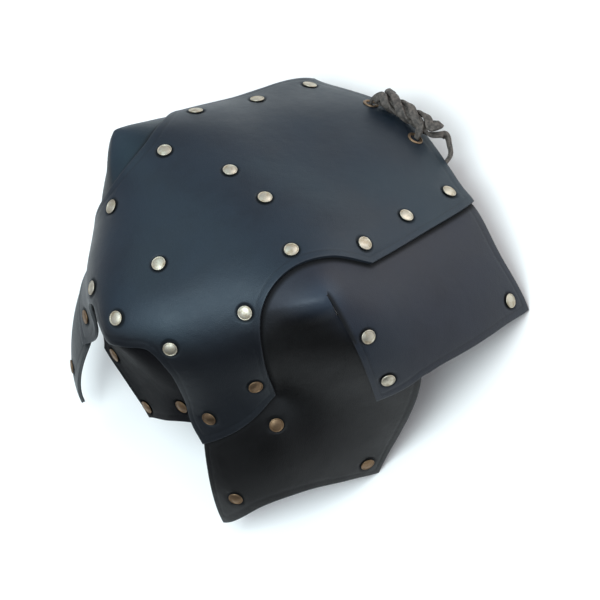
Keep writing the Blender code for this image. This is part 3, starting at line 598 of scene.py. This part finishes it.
# Nodes: a value is linked where it is a socket, and set where it is not
def feed(tree, socket, value):
    if isinstance(value, bpy.types.NodeSocket):
        tree.links.new(value, socket)
    elif value is not None:
        socket.default_value = (*value, 1.0) if socket.type == "RGBA" else value


def addNode(tree, kind, settings=(), **values):
    node = tree.nodes.new(kind)
    for key, value in dict(settings).items():
        setattr(node, key, value)
    for label, value in values.items():
        feed(tree, node.inputs[label.replace("_", " ")], value)
    return node


def newTree(name, kind, inputs, outputs):
    # An input's socket follows from its value, or from a word where it has none
    tree = bpy.data.node_groups.new(name, kind)
    for label, value in inputs.items():
        word = value if isinstance(value, str) else "Vector" if isinstance(value, tuple) else "Float"
        socket = tree.interface.new_socket(name=label, in_out="INPUT", socket_type="NodeSocket" + word)
        if word != value:
            socket.default_value = value
    for label, word in outputs.items():
        tree.interface.new_socket(name=label, in_out="OUTPUT", socket_type="NodeSocket" + word)
    return tree, tree.nodes.new("NodeGroupInput").outputs, tree.nodes.new("NodeGroupOutput").inputs


def newMaterial(name):
    material = bpy.data.materials.new(name)
    material.use_nodes = True
    return material, material.node_tree


def setSurface(tree, values):
    shader = tree.nodes["Principled BSDF"]
    for label, value in values.items():
        feed(tree, shader.inputs[label], value)


def mathNode(tree, operation, first, second=None, clamp=False):
    node = addNode(tree, "ShaderNodeMath", {"operation": operation, "use_clamp": clamp})
    feed(tree, node.inputs[0], first)
    feed(tree, node.inputs[1], second)
    return node.outputs[0]


def rangeNode(tree, value, low, high, start=0.0, end=1.0):
    node = addNode(tree, "ShaderNodeMapRange", {"interpolation_type": "SMOOTHSTEP"}, Value=value,
                   From_Min=low, From_Max=high, To_Min=start, To_Max=end)
    return node.outputs[0]


def noiseNode(tree, vector, scale, detail=3.0, roughness=0.5):
    node = addNode(tree, "ShaderNodeTexNoise", Vector=vector, Scale=scale, Detail=detail, Roughness=roughness)
    return node.outputs["Fac"]


def mixColour(tree, share, first, second):
    node = addNode(tree, "ShaderNodeMix", {"data_type": "RGBA"})
    sockets = [node.inputs[0]] + [socket for socket in node.inputs if socket.type == "RGBA"]
    for socket, value in zip(sockets, (share, first, second)):
        feed(tree, socket, value)
    return next(socket for socket in node.outputs if socket.type == "RGBA")


def bumpNode(tree, height, strength, distance, normal=None):
    node = addNode(tree, "ShaderNodeBump", Height=height, Strength=strength, Distance=distance, Normal=normal)
    return node.outputs["Normal"]


def attributeNode(tree, label):
    return addNode(tree, "ShaderNodeAttribute", {"attribute_name": label}).outputs["Fac"]


def objectSpot(tree):
    return tree.nodes.new("ShaderNodeTexCoord").outputs["Object"]


grainSizes = {"scale": 900.0, "pebbleEdge": 0.22, "pebbleShare": 0.6, "fineScale": 2.1, "fineShare": 0.4,
              "waveScale": 22.0}


def grainGroup():
    # Pebbled hide grain and long soft unevenness
    tree, source, target = newTree("hideGrain", "ShaderNodeTree",
                                   {"Vector": (0, 0, 0), "Grain Scale": grainSizes["scale"],
                                    "Wave Scale": grainSizes["waveScale"]},
                                   {"Height": "Float", "Mottle": "Float"})
    cells = addNode(tree, "ShaderNodeTexVoronoi", {"feature": "DISTANCE_TO_EDGE"}, Vector=source["Vector"],
                    Scale=source["Grain Scale"])
    pebble = rangeNode(tree, cells.outputs["Distance"], 0.0, grainSizes["pebbleEdge"])
    fineScale = mathNode(tree, "MULTIPLY", source["Grain Scale"], grainSizes["fineScale"])
    fine = noiseNode(tree, source["Vector"], fineScale, 3.0, 0.6)
    pebbled = mathNode(tree, "MULTIPLY", pebble, grainSizes["pebbleShare"])
    roughened = mathNode(tree, "MULTIPLY", fine, grainSizes["fineShare"])
    feed(tree, target["Height"], mathNode(tree, "ADD", pebbled, roughened))
    feed(tree, target["Mottle"], noiseNode(tree, source["Vector"], source["Wave Scale"], 5.0, 0.62))
    return tree


# Metres from the edge or the rivet, but for the line's reach, which is in line widths
wearSizes = {"wobble": 0.0022, "rim": (0.0001, 0.0015), "lineReach": 1.7, "ring": (0.0046, 0.0074)}


def wearAndRingShadeGroup():
    # Masks from the edge distance and the rivet distance: rubbed rim, tooled line, and a ring of painted
    # shade round a rivet
    tree, source, target = newTree("edgeWearAndRingShade", "ShaderNodeTree",
                                   {"Edge Gap": 1.0, "Rivet Gap": 1.0, "Breakup": 0.5,
                                    "Line Inset": sheets["lineInset"], "Line Width": sheets["lineWidth"]},
                                   {"Rim": "Float", "Line": "Float", "Ring": "Float"})
    uneven = mathNode(tree, "SUBTRACT", source["Breakup"], 0.5)
    wobble = mathNode(tree, "MULTIPLY", uneven, wearSizes["wobble"])
    rimGap = mathNode(tree, "ADD", source["Edge Gap"], wobble)
    off = mathNode(tree, "ABSOLUTE", mathNode(tree, "SUBTRACT", source["Edge Gap"], source["Line Inset"]))
    lineReach = mathNode(tree, "MULTIPLY", source["Line Width"], wearSizes["lineReach"])
    feed(tree, target["Rim"], rangeNode(tree, rimGap, *wearSizes["rim"], 1.0, 0.0))
    feed(tree, target["Line"], rangeNode(tree, off, 0.0, lineReach, 1.0, 0.0))
    feed(tree, target["Ring"], rangeNode(tree, source["Rivet Gap"], *wearSizes["ring"], 1.0, 0.0))
    return tree


hideGrain = grainGroup()
edgeWearAndRingShade = wearAndRingShadeGroup()

# Dye of each piece where it faces the sky as worn; 'below' is painted shade where it faces down, and 'ridge'
# the share of painted highlight along the crease
leatherLooks = {
    "cap_plate": {
        "deep": (0.0046, 0.0072, 0.0122), "pale": (0.0066, 0.0110, 0.0180), "below": (0.0050, 0.0052, 0.0068),
        "ridge": 0.0, "teal": 0.55, "rough": 0.45, "specular": 0.36, "tint": (0.82, 0.92, 1.0),
        "shift": (0.0, 0.0, 0.0)},
    "skirt_front": {
        "deep": (0.0092, 0.0105, 0.0160), "pale": (0.0130, 0.0148, 0.0220), "below": (0.0012, 0.0010, 0.0009),
        "ridge": 0.8, "teal": 0.18, "rough": 0.47, "specular": 0.29, "tint": (0.98, 0.96, 0.98),
        "shift": (0.3, 0.1, 0.2)},
    "skirt_rear": {
        "deep": (0.0046, 0.0090, 0.0140), "pale": (0.0066, 0.0130, 0.0200), "below": (0.0020, 0.0022, 0.0030),
        "ridge": 0.3, "teal": 0.55, "rough": 0.47, "specular": 0.34, "tint": (0.82, 0.93, 1.0),
        "shift": (0.7, 0.4, 0.1)},
    # The arm tab's darker, greyer dye is painted shade on the same leather
    "arm_tab": {
        "deep": (0.0045, 0.0045, 0.0055), "pale": (0.0065, 0.0065, 0.0080), "below": (0.0045, 0.0042, 0.0050),
        "ridge": 0.0, "teal": 0.55, "rough": 0.60, "specular": 0.04, "tint": (1.0, 1.0, 1.0),
        "shift": (0.2, 0.8, 0.5)},
}


# What the pieces' finish shares: the reach of each mask, and the colour that it brings and how much of it.
# The turned-down and ring colours are painted shade, the lap colour a painted shadow and the ridge colour a
# painted highlight.
hide = {
    "breakupScale": 260.0,
    "mottled": (0.36, 0.66),
    "tealScale": 9.0, "tealPatch": (0.48, 0.68), "tealDye": (0.0045, 0.0150, 0.0225),
    "turned": (0.10, 0.55),             # from turned down to turned to the sky
    "ridgeHighlightRange": (0.15, 0.85), "ridgeHighlightColour": (0.0200, 0.0290, 0.0430),
    "lapShadowRange": (0.0010, 0.0044), "lapShadowShare": 0.92, "lapShadowColour": (0.0006, 0.0006, 0.0006),
    "lineShare": 0.4, "lineDye": (0.002, 0.002, 0.003),
    "ringShadeShare": 0.9, "ringShadeColour": (0.001, 0.001, 0.001),
    "rimShare": 0.4, "rimDye": (0.020, 0.021, 0.025),
    "fleshSide": (0.55, 0.95), "fleshDye": (0.014, 0.0125, 0.0120),
    "roughened": (0.3, 0.7), "roughSpread": (-0.05, 0.07),
    "fleshRough": 0.35, "ringRough": 0.3, "lapRough": 0.35,
    "grainBump": (0.16, 0.0004),        # strength and distance
    "broadScale": 55.0, "broadBump": (0.35, 0.0012),
}


def leatherMaterial(name, look):
    material, tree = newMaterial(name + "_hide")
    mapping = addNode(tree, "ShaderNodeMapping", Vector=objectSpot(tree), Location=look["shift"])
    spot = mapping.outputs["Vector"]
    grain = addNode(tree, "ShaderNodeGroup", {"node_tree": hideGrain}, Vector=spot).outputs
    wear = addNode(tree, "ShaderNodeGroup", {"node_tree": edgeWearAndRingShade}, Edge_Gap=attributeNode(tree, "edgeGap"),
                   Rivet_Gap=attributeNode(tree, "rivetGap"),
                   Breakup=noiseNode(tree, spot, hide["breakupScale"])).outputs
    tealPatch = noiseNode(tree, spot, hide["tealScale"], 2.0)
    # The lap mask paints shadow along the cap's edge and the slit, and the ridge mask paints a highlight
    # along the crease
    lap = rangeNode(tree, attributeNode(tree, "shadowGap"), *hide["lapShadowRange"], hide["lapShadowShare"], 0.0)
    flesh = rangeNode(tree, attributeNode(tree, "innerSide"), *hide["fleshSide"])
    ridge = rangeNode(tree, attributeNode(tree, "ridge"), *hide["ridgeHighlightRange"], 0.0, look["ridge"])
    # In these layers the turned-down colour and the ring colour are painted shade
    layers = [
        (rangeNode(tree, grain["Mottle"], *hide["mottled"]), look["pale"]),
        (rangeNode(tree, tealPatch, *hide["tealPatch"], 0.0, look["teal"]), hide["tealDye"]),
        (rangeNode(tree, attributeNode(tree, "skyward"), *hide["turned"], 1.0, 0.0), look["below"]),
        (ridge, hide["ridgeHighlightColour"]),
        (lap, hide["lapShadowColour"]),
        (mathNode(tree, "MULTIPLY", wear["Line"], hide["lineShare"]), hide["lineDye"]),
        (mathNode(tree, "MULTIPLY", wear["Ring"], hide["ringShadeShare"]), hide["ringShadeColour"]),
        (mathNode(tree, "MULTIPLY", wear["Rim"], hide["rimShare"]), hide["rimDye"]),
        (flesh, hide["fleshDye"]),
    ]
    colour = look["deep"]
    for share, dye in layers:
        colour = mixColour(tree, share, colour, dye)
    smoothest, roughest = (look["rough"] + change for change in hide["roughSpread"])
    rough = rangeNode(tree, grain["Mottle"], *hide["roughened"], smoothest, roughest)
    for share, label in ((flesh, "fleshRough"), (wear["Ring"], "ringRough"), (lap, "lapRough")):
        rough = mathNode(tree, "ADD", rough, mathNode(tree, "MULTIPLY", share, hide[label]), True)
    broad = bumpNode(tree, noiseNode(tree, spot, hide["broadScale"]), *hide["broadBump"])
    setSurface(tree, {
        "Base Color": colour, "Roughness": rough, "Specular IOR Level": look["specular"],
        "Specular Tint": look["tint"], "Normal": bumpNode(tree, grain["Height"], *hide["grainBump"], broad)})
    return material


for node, look in leatherLooks.items():
    leather[node].data.materials.clear()
    leather[node].data.materials.append(leatherMaterial(node, look))
print("leather finished")

# Brass: stained and darker at the rim, and painted brown the lower it sits on the worn guard, as painted
# shade
brassLook = {"bright": (0.49, 0.44, 0.355), "worn": (0.30, 0.22, 0.13), "below": (0.17, 0.095, 0.045),
             "stainScale": 240.0, "stained": (0.44, 0.7), "stainShare": 0.6, "rimShare": 0.65,
             "brownShadeRange": (0.1, 0.9), "brownShadeShare": 0.9,
             "rough": 0.46, "roughened": (0.3, 0.75), "roughSpread": (-0.05, 0.2),
             "fleckScale": 1400.0, "fleckBump": (0.12, 0.0003)}     # strength and distance


def brassMaterial(name, look):
    material, tree = newMaterial(name)
    spot = objectSpot(tree)
    stain = noiseNode(tree, spot, look["stainScale"], 4.0, 0.65)
    rimShade = mathNode(tree, "MULTIPLY", attributeNode(tree, "rimShade"), look["rimShare"])
    stained = rangeNode(tree, stain, *look["stained"], 0.0, look["stainShare"])
    shade = mathNode(tree, "ADD", stained, rimShade, True)
    # Painted shade: brown where the rivet sits low
    below = rangeNode(tree, attributeNode(tree, "skyward"), *look["brownShadeRange"], look["brownShadeShare"], 0.0)
    smoothest, roughest = (look["rough"] + change for change in look["roughSpread"])
    colour = mixColour(tree, shade, look["bright"], look["worn"])
    fleck = noiseNode(tree, spot, look["fleckScale"], 2.0)
    setSurface(tree, {
        "Base Color": mixColour(tree, below, colour, look["below"]),
        "Roughness": rangeNode(tree, stain, *look["roughened"], smoothest, roughest),
        "Metallic": 1.0, "Normal": bumpNode(tree, fleck, *look["fleckBump"])})
    return material


# Rivets by Geometry Nodes: one domed head and one back cap, placed on points that carry their own normal
rivetSizes = {"headRadius": 0.0047, "headHeight": 0.00135, "rim": 0.00045, "backRadius": 0.0039,
              "backHeight": 0.0008, "headSeat": 0.00005,
              "cut": 0.85}      # height at which the dome is cut from its sphere, as a share of the radius
# The eyelets get the lower rivets' painted brown shade
eyeletSkyShade = 0.22                # the eyelets are as brown as the lower rivets
eyeletSizes = {"ringRadius": 0.0043, "ringThick": 0.0011, "bore": 0.0031, "barrel": 0.0006, "seat": 0.0002}


def pieceTree(name, **sizes):
    # A Geometry Nodes tree with its sizes and a material as inputs
    inputs = {label.replace("_", " "): value for label, value in sizes.items()}
    return newTree(name, "GeometryNodeTree", {"Geometry": "Geometry", **inputs, "Material": "Material"},
                   {"Geometry": "Geometry"})


def vectorNode(tree, **axes):
    return addNode(tree, "ShaderNodeCombineXYZ", **axes).outputs[0]


def heightNode(tree):
    position = tree.nodes.new("GeometryNodeInputPosition").outputs[0]
    return addNode(tree, "ShaderNodeSeparateXYZ", Vector=position).outputs["Z"]


def circleNode(tree, sides, radius):
    return addNode(tree, "GeometryNodeCurvePrimitiveCircle", Resolution=sides, Radius=radius).outputs["Curve"]


def sweepNode(tree, path, profile, **values):
    node = addNode(tree, "GeometryNodeCurveToMesh", Curve=path, Profile_Curve=profile, **values)
    return node.outputs["Mesh"]


def moveNode(tree, shape, **values):
    return addNode(tree, "GeometryNodeTransform", Geometry=shape, **values).outputs["Geometry"]


def joinNode(tree, shapes):
    node = tree.nodes.new("GeometryNodeJoinGeometry")
    for shape in shapes:
        tree.links.new(shape, node.inputs["Geometry"])
    return node.outputs["Geometry"]


def fieldNode(tree, label, kind="FLOAT"):
    node = addNode(tree, "GeometryNodeInputNamedAttribute", {"data_type": kind}, Name=label)
    return node.outputs["Attribute"]


def onPoints(tree, source, shape):
    # A copy on every point, turned to the point's own normal
    aim = addNode(tree, "FunctionNodeAlignRotationToVector", {"axis": "Z"},
                  Vector=fieldNode(tree, "outward", "FLOAT_VECTOR"))
    return addNode(tree, "GeometryNodeInstanceOnPoints", Points=source["Geometry"], Instance=shape,
                   Rotation=aim.outputs["Rotation"]).outputs["Instances"]


def finishTree(tree, source, target, shape):
    real = addNode(tree, "GeometryNodeRealizeInstances", Geometry=shape)
    smooth = addNode(tree, "GeometryNodeSetShadeSmooth", Geometry=real.outputs["Geometry"])
    finish = addNode(tree, "GeometryNodeSetMaterial", Geometry=smooth.outputs[0], Material=source["Material"])
    feed(tree, target["Geometry"], finish.outputs["Geometry"])
    return tree


def domeTree():
    # A low dome with a rolled rim, on every point
    tree, source, target = pieceTree("domedCaps", Radius=0.005, Height=0.0015, Rim=0.0004, Cut=0.85)
    rim, cut = source["Rim"], source["Cut"]
    ball = addNode(tree, "GeometryNodeMeshUVSphere", Segments=28, Rings=50, Radius=1.0)
    below = addNode(tree, "FunctionNodeCompare", {"data_type": "FLOAT", "operation": "LESS_THAN"},
                    A=heightNode(tree), B=cut)
    sliced = addNode(tree, "GeometryNodeDeleteGeometry", {"domain": "POINT"}, Geometry=ball.outputs["Mesh"],
                     Selection=below.outputs["Result"])
    inner = mathNode(tree, "SUBTRACT", source["Radius"], rim)
    cutRadius = mathNode(tree, "SQRT", mathNode(tree, "SUBTRACT", 1.0, mathNode(tree, "POWER", cut, 2.0)))
    spread = mathNode(tree, "DIVIDE", inner, cutRadius)
    rise = mathNode(tree, "DIVIDE", mathNode(tree, "SUBTRACT", source["Height"], rim),
                    mathNode(tree, "SUBTRACT", 1.0, cut))
    settle = mathNode(tree, "SUBTRACT", rim, mathNode(tree, "MULTIPLY", rise, cut))
    dome = moveNode(tree, sliced.outputs["Geometry"], Scale=vectorNode(tree, X=spread, Y=spread, Z=rise),
                    Translation=vectorNode(tree, Z=settle))
    roll = sweepNode(tree, circleNode(tree, 28, inner), circleNode(tree, 10, rim))
    raised = moveNode(tree, roll, Translation=vectorNode(tree, Z=rim))
    base = addNode(tree, "GeometryNodeMeshCircle", {"fill_type": "NGON"}, Vertices=28, Radius=inner)
    whole = joinNode(tree, (dome, raised, base.outputs["Mesh"]))
    ratio = mathNode(tree, "DIVIDE", heightNode(tree), source["Height"])
    dark = addNode(tree, "ShaderNodeMapRange", Value=ratio, From_Min=0.05, From_Max=0.6, To_Min=1.0,
                   To_Max=0.0)
    shade = addNode(tree, "GeometryNodeStoreNamedAttribute", {"data_type": "FLOAT", "domain": "POINT"},
                    Geometry=whole, Name="rimShade", Value=dark.outputs[0])
    return finishTree(tree, source, target, onPoints(tree, source, shade.outputs["Geometry"]))


def ringTree():
    # A rolled ring and a barrel below it, on every point
    tree, source, target = pieceTree("eyeletRings", Ring_Radius=0.0044, Thickness=0.0012,
                                     Barrel_Radius=0.0033, Barrel_Wall=0.0006, Depth=0.003)
    circle, bead = circleNode(tree, 40, source["Ring Radius"]), circleNode(tree, 14, source["Thickness"])
    ring = moveNode(tree, sweepNode(tree, circle, bead), Scale=(1.0, 1.0, 0.62))
    wall = addNode(tree, "GeometryNodeCurvePrimitiveQuadrilateral", Width=source["Barrel Wall"],
                   Height=source["Depth"])
    tube = sweepNode(tree, circleNode(tree, 40, source["Barrel Radius"]), wall.outputs["Curve"])
    shapes = [ring]
    for shape, share in ((tube, -0.5), (ring, -1.0)):
        sink = vectorNode(tree, Z=mathNode(tree, "MULTIPLY", source["Depth"], share))
        shapes.append(moveNode(tree, shape, Translation=sink))
    return finishTree(tree, source, target, onPoints(tree, source, joinNode(tree, shapes)))


def grow(item, tree, values):
    # Runs a node tree on an object with its sockets set, and keeps the result as a plain mesh
    modifier = item.modifiers.new("grow", "NODES")
    modifier.node_group = tree
    for socket in tree.interface.items_tree:
        if socket.in_out == "INPUT" and socket.name in values:
            modifier[socket.identifier] = values[socket.name]
    bpy.context.view_layer.update()
    depsgraph = bpy.context.evaluated_depsgraph_get()
    data = bpy.data.meshes.new_from_object(item.evaluated_get(depsgraph), depsgraph=depsgraph)
    name = item.name
    bpy.data.objects.remove(item, do_unlink=True)
    data.name = name
    grown = bpy.data.objects.new(name, data)
    bpy.context.collection.objects.link(grown)
    return grown


def atRest(point, normal):
    return rest @ Vector(point), (rest.to_3x3() @ Vector(normal)).normalized()


def growOnPoints(name, rows, skyward, tree, values):
    points, normals = zip(*rows)
    item = grow(meshObject(name, points, outward=normals, skyward=skyward), tree, values)
    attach(item, "root")
    return item


def buildRivets(brass):
    heads, backs, skyward = [], [], []
    for node, centre, pieces, top, bottom in rivets:
        seat, normal = form.at(centre)
        # Painted shade: the lower a rivet sits as worn, the browner it is painted
        skyward.append(0.5 + lowShade["brassPull"] * (seat[2] - lowShade["brassMiddle"]))
        heads.append(atRest(seat + normal * (top + rivetSizes["headSeat"]), normal))
        backs.append(atRest(seat + normal * (bottom - rivetSizes["headSeat"]), -normal))
    tree = domeTree()
    for part, rows in (("head", heads), ("back", backs)):
        values = {"Radius": rivetSizes[part + "Radius"], "Height": rivetSizes[part + "Height"],
                  "Rim": rivetSizes["rim"], "Cut": rivetSizes["cut"], "Material": brass}
        growOnPoints("rivet_%ss" % part, rows, skyward, tree, values)
    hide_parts(*[row[0] for row in rivets])


brass = brassMaterial("antiqueBrass", brassLook)
buildRivets(brass)


def buildEyelets(brass):
    rows = []
    for node, along, across, down in eyeletSpots:
        seat, normal = form.at(place(along, across * guard["capSpread"], down))
        rows.append(atRest(seat + normal * (capOuter + eyeletSizes["seat"]), normal))
    item = growOnPoints("eyelet_rings", rows, [eyeletSkyShade] * len(rows), ringTree(), {
        "Ring Radius": eyeletSizes["ringRadius"], "Thickness": eyeletSizes["ringThick"],
        "Barrel Radius": eyeletSizes["bore"] + eyeletSizes["barrel"] / 2,
        "Barrel Wall": eyeletSizes["barrel"], "Depth": guard["leather"] + 2 * eyeletSizes["seat"],
        "Material": brass})
    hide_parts(*[row[0] for row in eyeletSpots])
    print("eyelets", len(item.data.polygons))


buildEyelets(brass)

# The lace as worn, X and Z in metres from between the eyelets and Y a share of the cap's spread: up through
# the front eyelet, down through the rear one, round the neck edge, and back over itself
laceStart = [
    (-0.0030, -0.225, -0.0080), (-0.0014, -0.240, 0.0000), (-0.0004, -0.245, 0.0052),
    (0.0028, -0.222, 0.0092), (0.0052, -0.150, 0.0100), (0.0042, 0.000, 0.0102), (0.0034, 0.108, 0.0100),
    (0.0016, 0.180, 0.0096), (-0.0003, 0.218, 0.0056), (-0.0014, 0.210, 0.0000), (-0.0024, 0.203, -0.0056),
    (0.0025, 0.220, -0.0088), (0.0100, 0.237, -0.0080), (0.0162, 0.226, -0.0020), (0.0170, 0.204, 0.0040),
    (0.0130, 0.177, 0.0090),
]
laceEnd = [
    (0.0150, -0.360, 0.0045), (0.0142, -0.415, 0.0005), (0.0122, -0.460, -0.0045), (0.0060, -0.470, -0.0100),
]
# Each pass along the knot winds round it, from its own angle in degrees
thong = {"passes": (20, 140, 260), "passKnots": 9, "turns": 1.0, "turnRadius": 0.0046,
         "kneeReach": 0.0034, "kneeRadius": 1.12,       # where one pass turns back into the next
         "knotStart": (0.0030, 0.0135, 0.0100), "knotEnd": (0.0088, -0.0270, 0.0082),
         "width": 0.0056, "thickness": 0.0026, "corner": 0.0009, "step": 0.0006,
         "eyeletWidth": 0.68, "eyeletReach": (0.003, 0.008)}


def lacePath():
    start, end = np.array(thong["knotStart"]), np.array(thong["knotEnd"])
    run = (end - start) / np.linalg.norm(end - start)
    upward = np.array([0.0, 0.0, 1.0])
    sideways = np.cross(upward, run)
    sideways /= np.linalg.norm(sideways)
    stretch = np.array([1.0, guard["capSpread"], 1.0])

    def around(share, angle, reach=1.0, beyond=0.0):
        middle = start + (end - start) * share + run * beyond
        return middle + reach * thong["turnRadius"] * (math.cos(angle) * sideways + math.sin(angle) * upward)

    def winding(first, share):
        return math.radians(first) + 2 * math.pi * thong["turns"] * share

    knots = [np.array(spot) * stretch for spot in laceStart]
    passes = thong["passes"]
    for lap, first in enumerate(passes):
        way = [i / thong["passKnots"] for i in range(thong["passKnots"] + 1)]
        if lap % 2:
            way.reverse()
        knots += [around(share, winding(first, share)) for share in way]
        if lap + 1 < len(passes):
            beyond = thong["kneeReach"] if way[-1] > 0.5 else -thong["kneeReach"]
            between = winding((first + passes[lap + 1]) / 2, way[-1])
            knots.append(around(way[-1], between, thong["kneeRadius"], beyond))
    knots += [np.array(spot) * stretch for spot in laceEnd]
    points = np.array([knots[0]] + splitCurve(knots, thong["step"]))
    # The thong's flat side faces away from the knot's middle
    share = np.clip((points - start) @ run / np.linalg.norm(end - start), 0.0, 1.0)
    away = points - (start + share[:, None] * (end - start)) + 0.0015 * upward
    along = np.gradient(points, axis=0)
    along /= np.linalg.norm(along, axis=1)[:, None]
    away -= (away * along).sum(1)[:, None] * along
    for _ in range(12):
        away = (np.roll(away, 1, axis=0) + away + np.roll(away, -1, axis=0)) / 3
    away /= np.maximum(np.linalg.norm(away, axis=1), 1e-9)[:, None]
    eyelets = np.array([place(x, across * guard["capSpread"], down) for _, x, across, down in eyeletSpots])
    near = np.min(np.linalg.norm(points[:, None] - eyelets[None], axis=2), axis=1)
    size = thong["eyeletWidth"] + (1.0 - thong["eyeletWidth"]) * smoothStep(near, *thong["eyeletReach"])
    return points, away, size


def thongTree():
    # A flat thong with rounded corners along the run of points
    tree, source, target = pieceTree("flatThong", Width=0.004, Thickness=0.002, Corner=0.0006)
    size = fieldNode(tree, "thongSize")
    run = addNode(tree, "GeometryNodeMeshToCurve", Mesh=source["Geometry"])
    turned = addNode(tree, "GeometryNodeSetCurveNormal", {"mode": "FREE"}, Curve=run.outputs["Curve"],
                     Normal=fieldNode(tree, "outward", "FLOAT_VECTOR"))
    sized = addNode(tree, "GeometryNodeSetCurveRadius", Curve=turned.outputs["Curve"], Radius=size)
    flat = addNode(tree, "GeometryNodeCurvePrimitiveQuadrilateral", Width=source["Thickness"],
                   Height=source["Width"])
    corner = addNode(tree, "GeometryNodeFilletCurve", {"mode": "POLY"}, Curve=flat.outputs["Curve"], Count=4,
                     Radius=source["Corner"])
    tube = sweepNode(tree, sized.outputs["Curve"], corner.outputs["Curve"], Scale=size, Fill_Caps=True)
    return finishTree(tree, source, target, tube)


laceLook = {"deep": (0.026, 0.020, 0.016), "pale": (0.100, 0.080, 0.066), "rough": 0.72,
            "streakScale": 420.0, "streaked": (0.35, 0.65), "fibreScale": 900.0, "fibreBump": (0.6, 0.0006)}


def laceMaterial(look):
    material, tree = newMaterial("thongHide")
    spot = objectSpot(tree)
    streak = rangeNode(tree, noiseNode(tree, spot, look["streakScale"], 5.0, 0.7), *look["streaked"])
    fibre = noiseNode(tree, spot, look["fibreScale"], 4.0, 0.65)
    setSurface(tree, {
        "Base Color": mixColour(tree, streak, look["deep"], look["pale"]), "Roughness": look["rough"],
        "Normal": bumpNode(tree, fibre, *look["fibreBump"])})
    return material


def buildLace():
    points, away, size = lacePath()
    level = np.array(rest.to_3x3())
    points = points @ level.T + np.array(rest.to_translation())
    edges = [(i, i + 1) for i in range(len(points) - 1)]
    item = meshObject("lace_thong", points, edges, outward=away @ level.T, thongSize=size)
    item = grow(item, thongTree(), {"Width": thong["width"], "Thickness": thong["thickness"],
                                    "Corner": thong["corner"], "Material": laceMaterial(laceLook)})
    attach(item, "root")
    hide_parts("lace")
    print("lace", len(item.data.polygons))


buildLace()

# Camera: the photograph's view of the guard as worn, carried to where it rests
view = {
    "place": (-1.5923, -1.2244, 1.4335),
    "right": (0.66838, -0.71429, 0.20752),
    "down": (-0.38549, -0.57123, -0.72463),
    "forward": (0.63614, 0.40433, -0.65715),
    "photoFocal": 2150,             # focal length in the photograph's pixels
    "photoMiddle": 300,
    "guardMiddle": (152.0, 161.5),  # the middle of the guard in the photograph, in pixels
    "lens": 226,
}


def addCamera():
    turn = rest.to_3x3()
    right, down, forward = (turn @ Vector(view[label]) for label in ("right", "down", "forward"))
    across, below = ((middle - view["photoMiddle"]) / view["photoFocal"] for middle in view["guardMiddle"])
    aim = (forward + right * across + down * below).normalized()
    side = aim.cross(-down).normalized()
    top = side.cross(aim).normalized()
    data = bpy.data.cameras.new("camera")
    data.lens = view["lens"]
    data.sensor_width = 36
    data.clip_start = 0.05
    camera = bpy.data.objects.new("camera", data)
    matrix = Matrix((side, top, -aim)).transposed().to_4x4()
    matrix.translation = rest @ Vector(view["place"])
    camera.matrix_world = matrix
    bpy.context.collection.objects.link(camera)
    bpy.context.scene.camera = camera


addCamera()

# The room's light is open overhead and towards +X, and shaded low down towards -X and -Y, and so is the floor
studio = {
    "floor": (0.95, 0.90, 0.86),
    "floorReach": 6.0,
    "farFloor": (0.030, 0.028, 0.026),
    "floorWay": (-0.95, -0.30, 0.0),
    "floorEdge": (0.23, 0.36),
    "open": (0.64, 0.69, 0.77),
    "shaded": (0.020, 0.018, 0.018),
    "shadedWay": (-0.72, -0.60, -0.35),
    "shadedEdge": (0.35, 0.75),         # how the shade sets in, by the cosine to its middle
    "lampAim": (0, 0, 0.08),
    "lamps": [
        # name, place, size, watts, colour
        ("key", (-0.29, -0.31, 1.45), 0.85, 20, (0.76, 0.93, 1.0)),
        ("back", (0.35, 0.75, 1.30), 0.80, 3, (0.66, 0.98, 1.0)),
        ("fill", (1.50, -0.30, 0.60), 1.00, 10, (1.0, 0.98, 0.96)),
    ],
}


def alongWay(tree, spot, way):
    node = addNode(tree, "ShaderNodeVectorMath", {"operation": "DOT_PRODUCT"})
    feed(tree, node.inputs[0], spot)
    feed(tree, node.inputs[1], way)
    return node.outputs["Value"]


def addStudio():
    reach = studio["floorReach"]
    corners = [(-reach, -reach, 0), (reach, -reach, 0), (reach, reach, 0), (-reach, reach, 0)]
    floor = meshObject("floor", corners, faces=[(0, 1, 2, 3)])
    material, tree = newMaterial("paleFloor")
    fade = rangeNode(tree, alongWay(tree, objectSpot(tree), studio["floorWay"]), *studio["floorEdge"])
    colour = mixColour(tree, fade, studio["floor"], studio["farFloor"])
    setSurface(tree, {"Base Color": colour, "Roughness": 0.8})
    floor.data.materials.append(material)
    world = bpy.data.worlds.new("studio")
    world.use_nodes = True
    room = world.node_tree
    way = room.nodes.new("ShaderNodeTexCoord").outputs["Generated"]
    shade = rangeNode(room, alongWay(room, way, studio["shadedWay"]), *studio["shadedEdge"])
    light = mixColour(room, shade, studio["open"], studio["shaded"])
    feed(room, room.nodes["Background"].inputs["Color"], light)
    bpy.context.scene.world = world
    for name, spot, size, watts, colour in studio["lamps"]:
        lamp = bpy.data.lights.new(name, "AREA")
        lamp.energy = watts
        lamp.size = size
        lamp.color = colour
        item = bpy.data.objects.new(name, lamp)
        item.location = spot
        item.rotation_euler = (Vector(studio["lampAim"]) - Vector(spot)).to_track_quat("-Z", "Y").to_euler()
        bpy.context.collection.objects.link(item)


addStudio()
bpy.context.scene.view_settings.view_transform = "Standard"
print("studio ready")
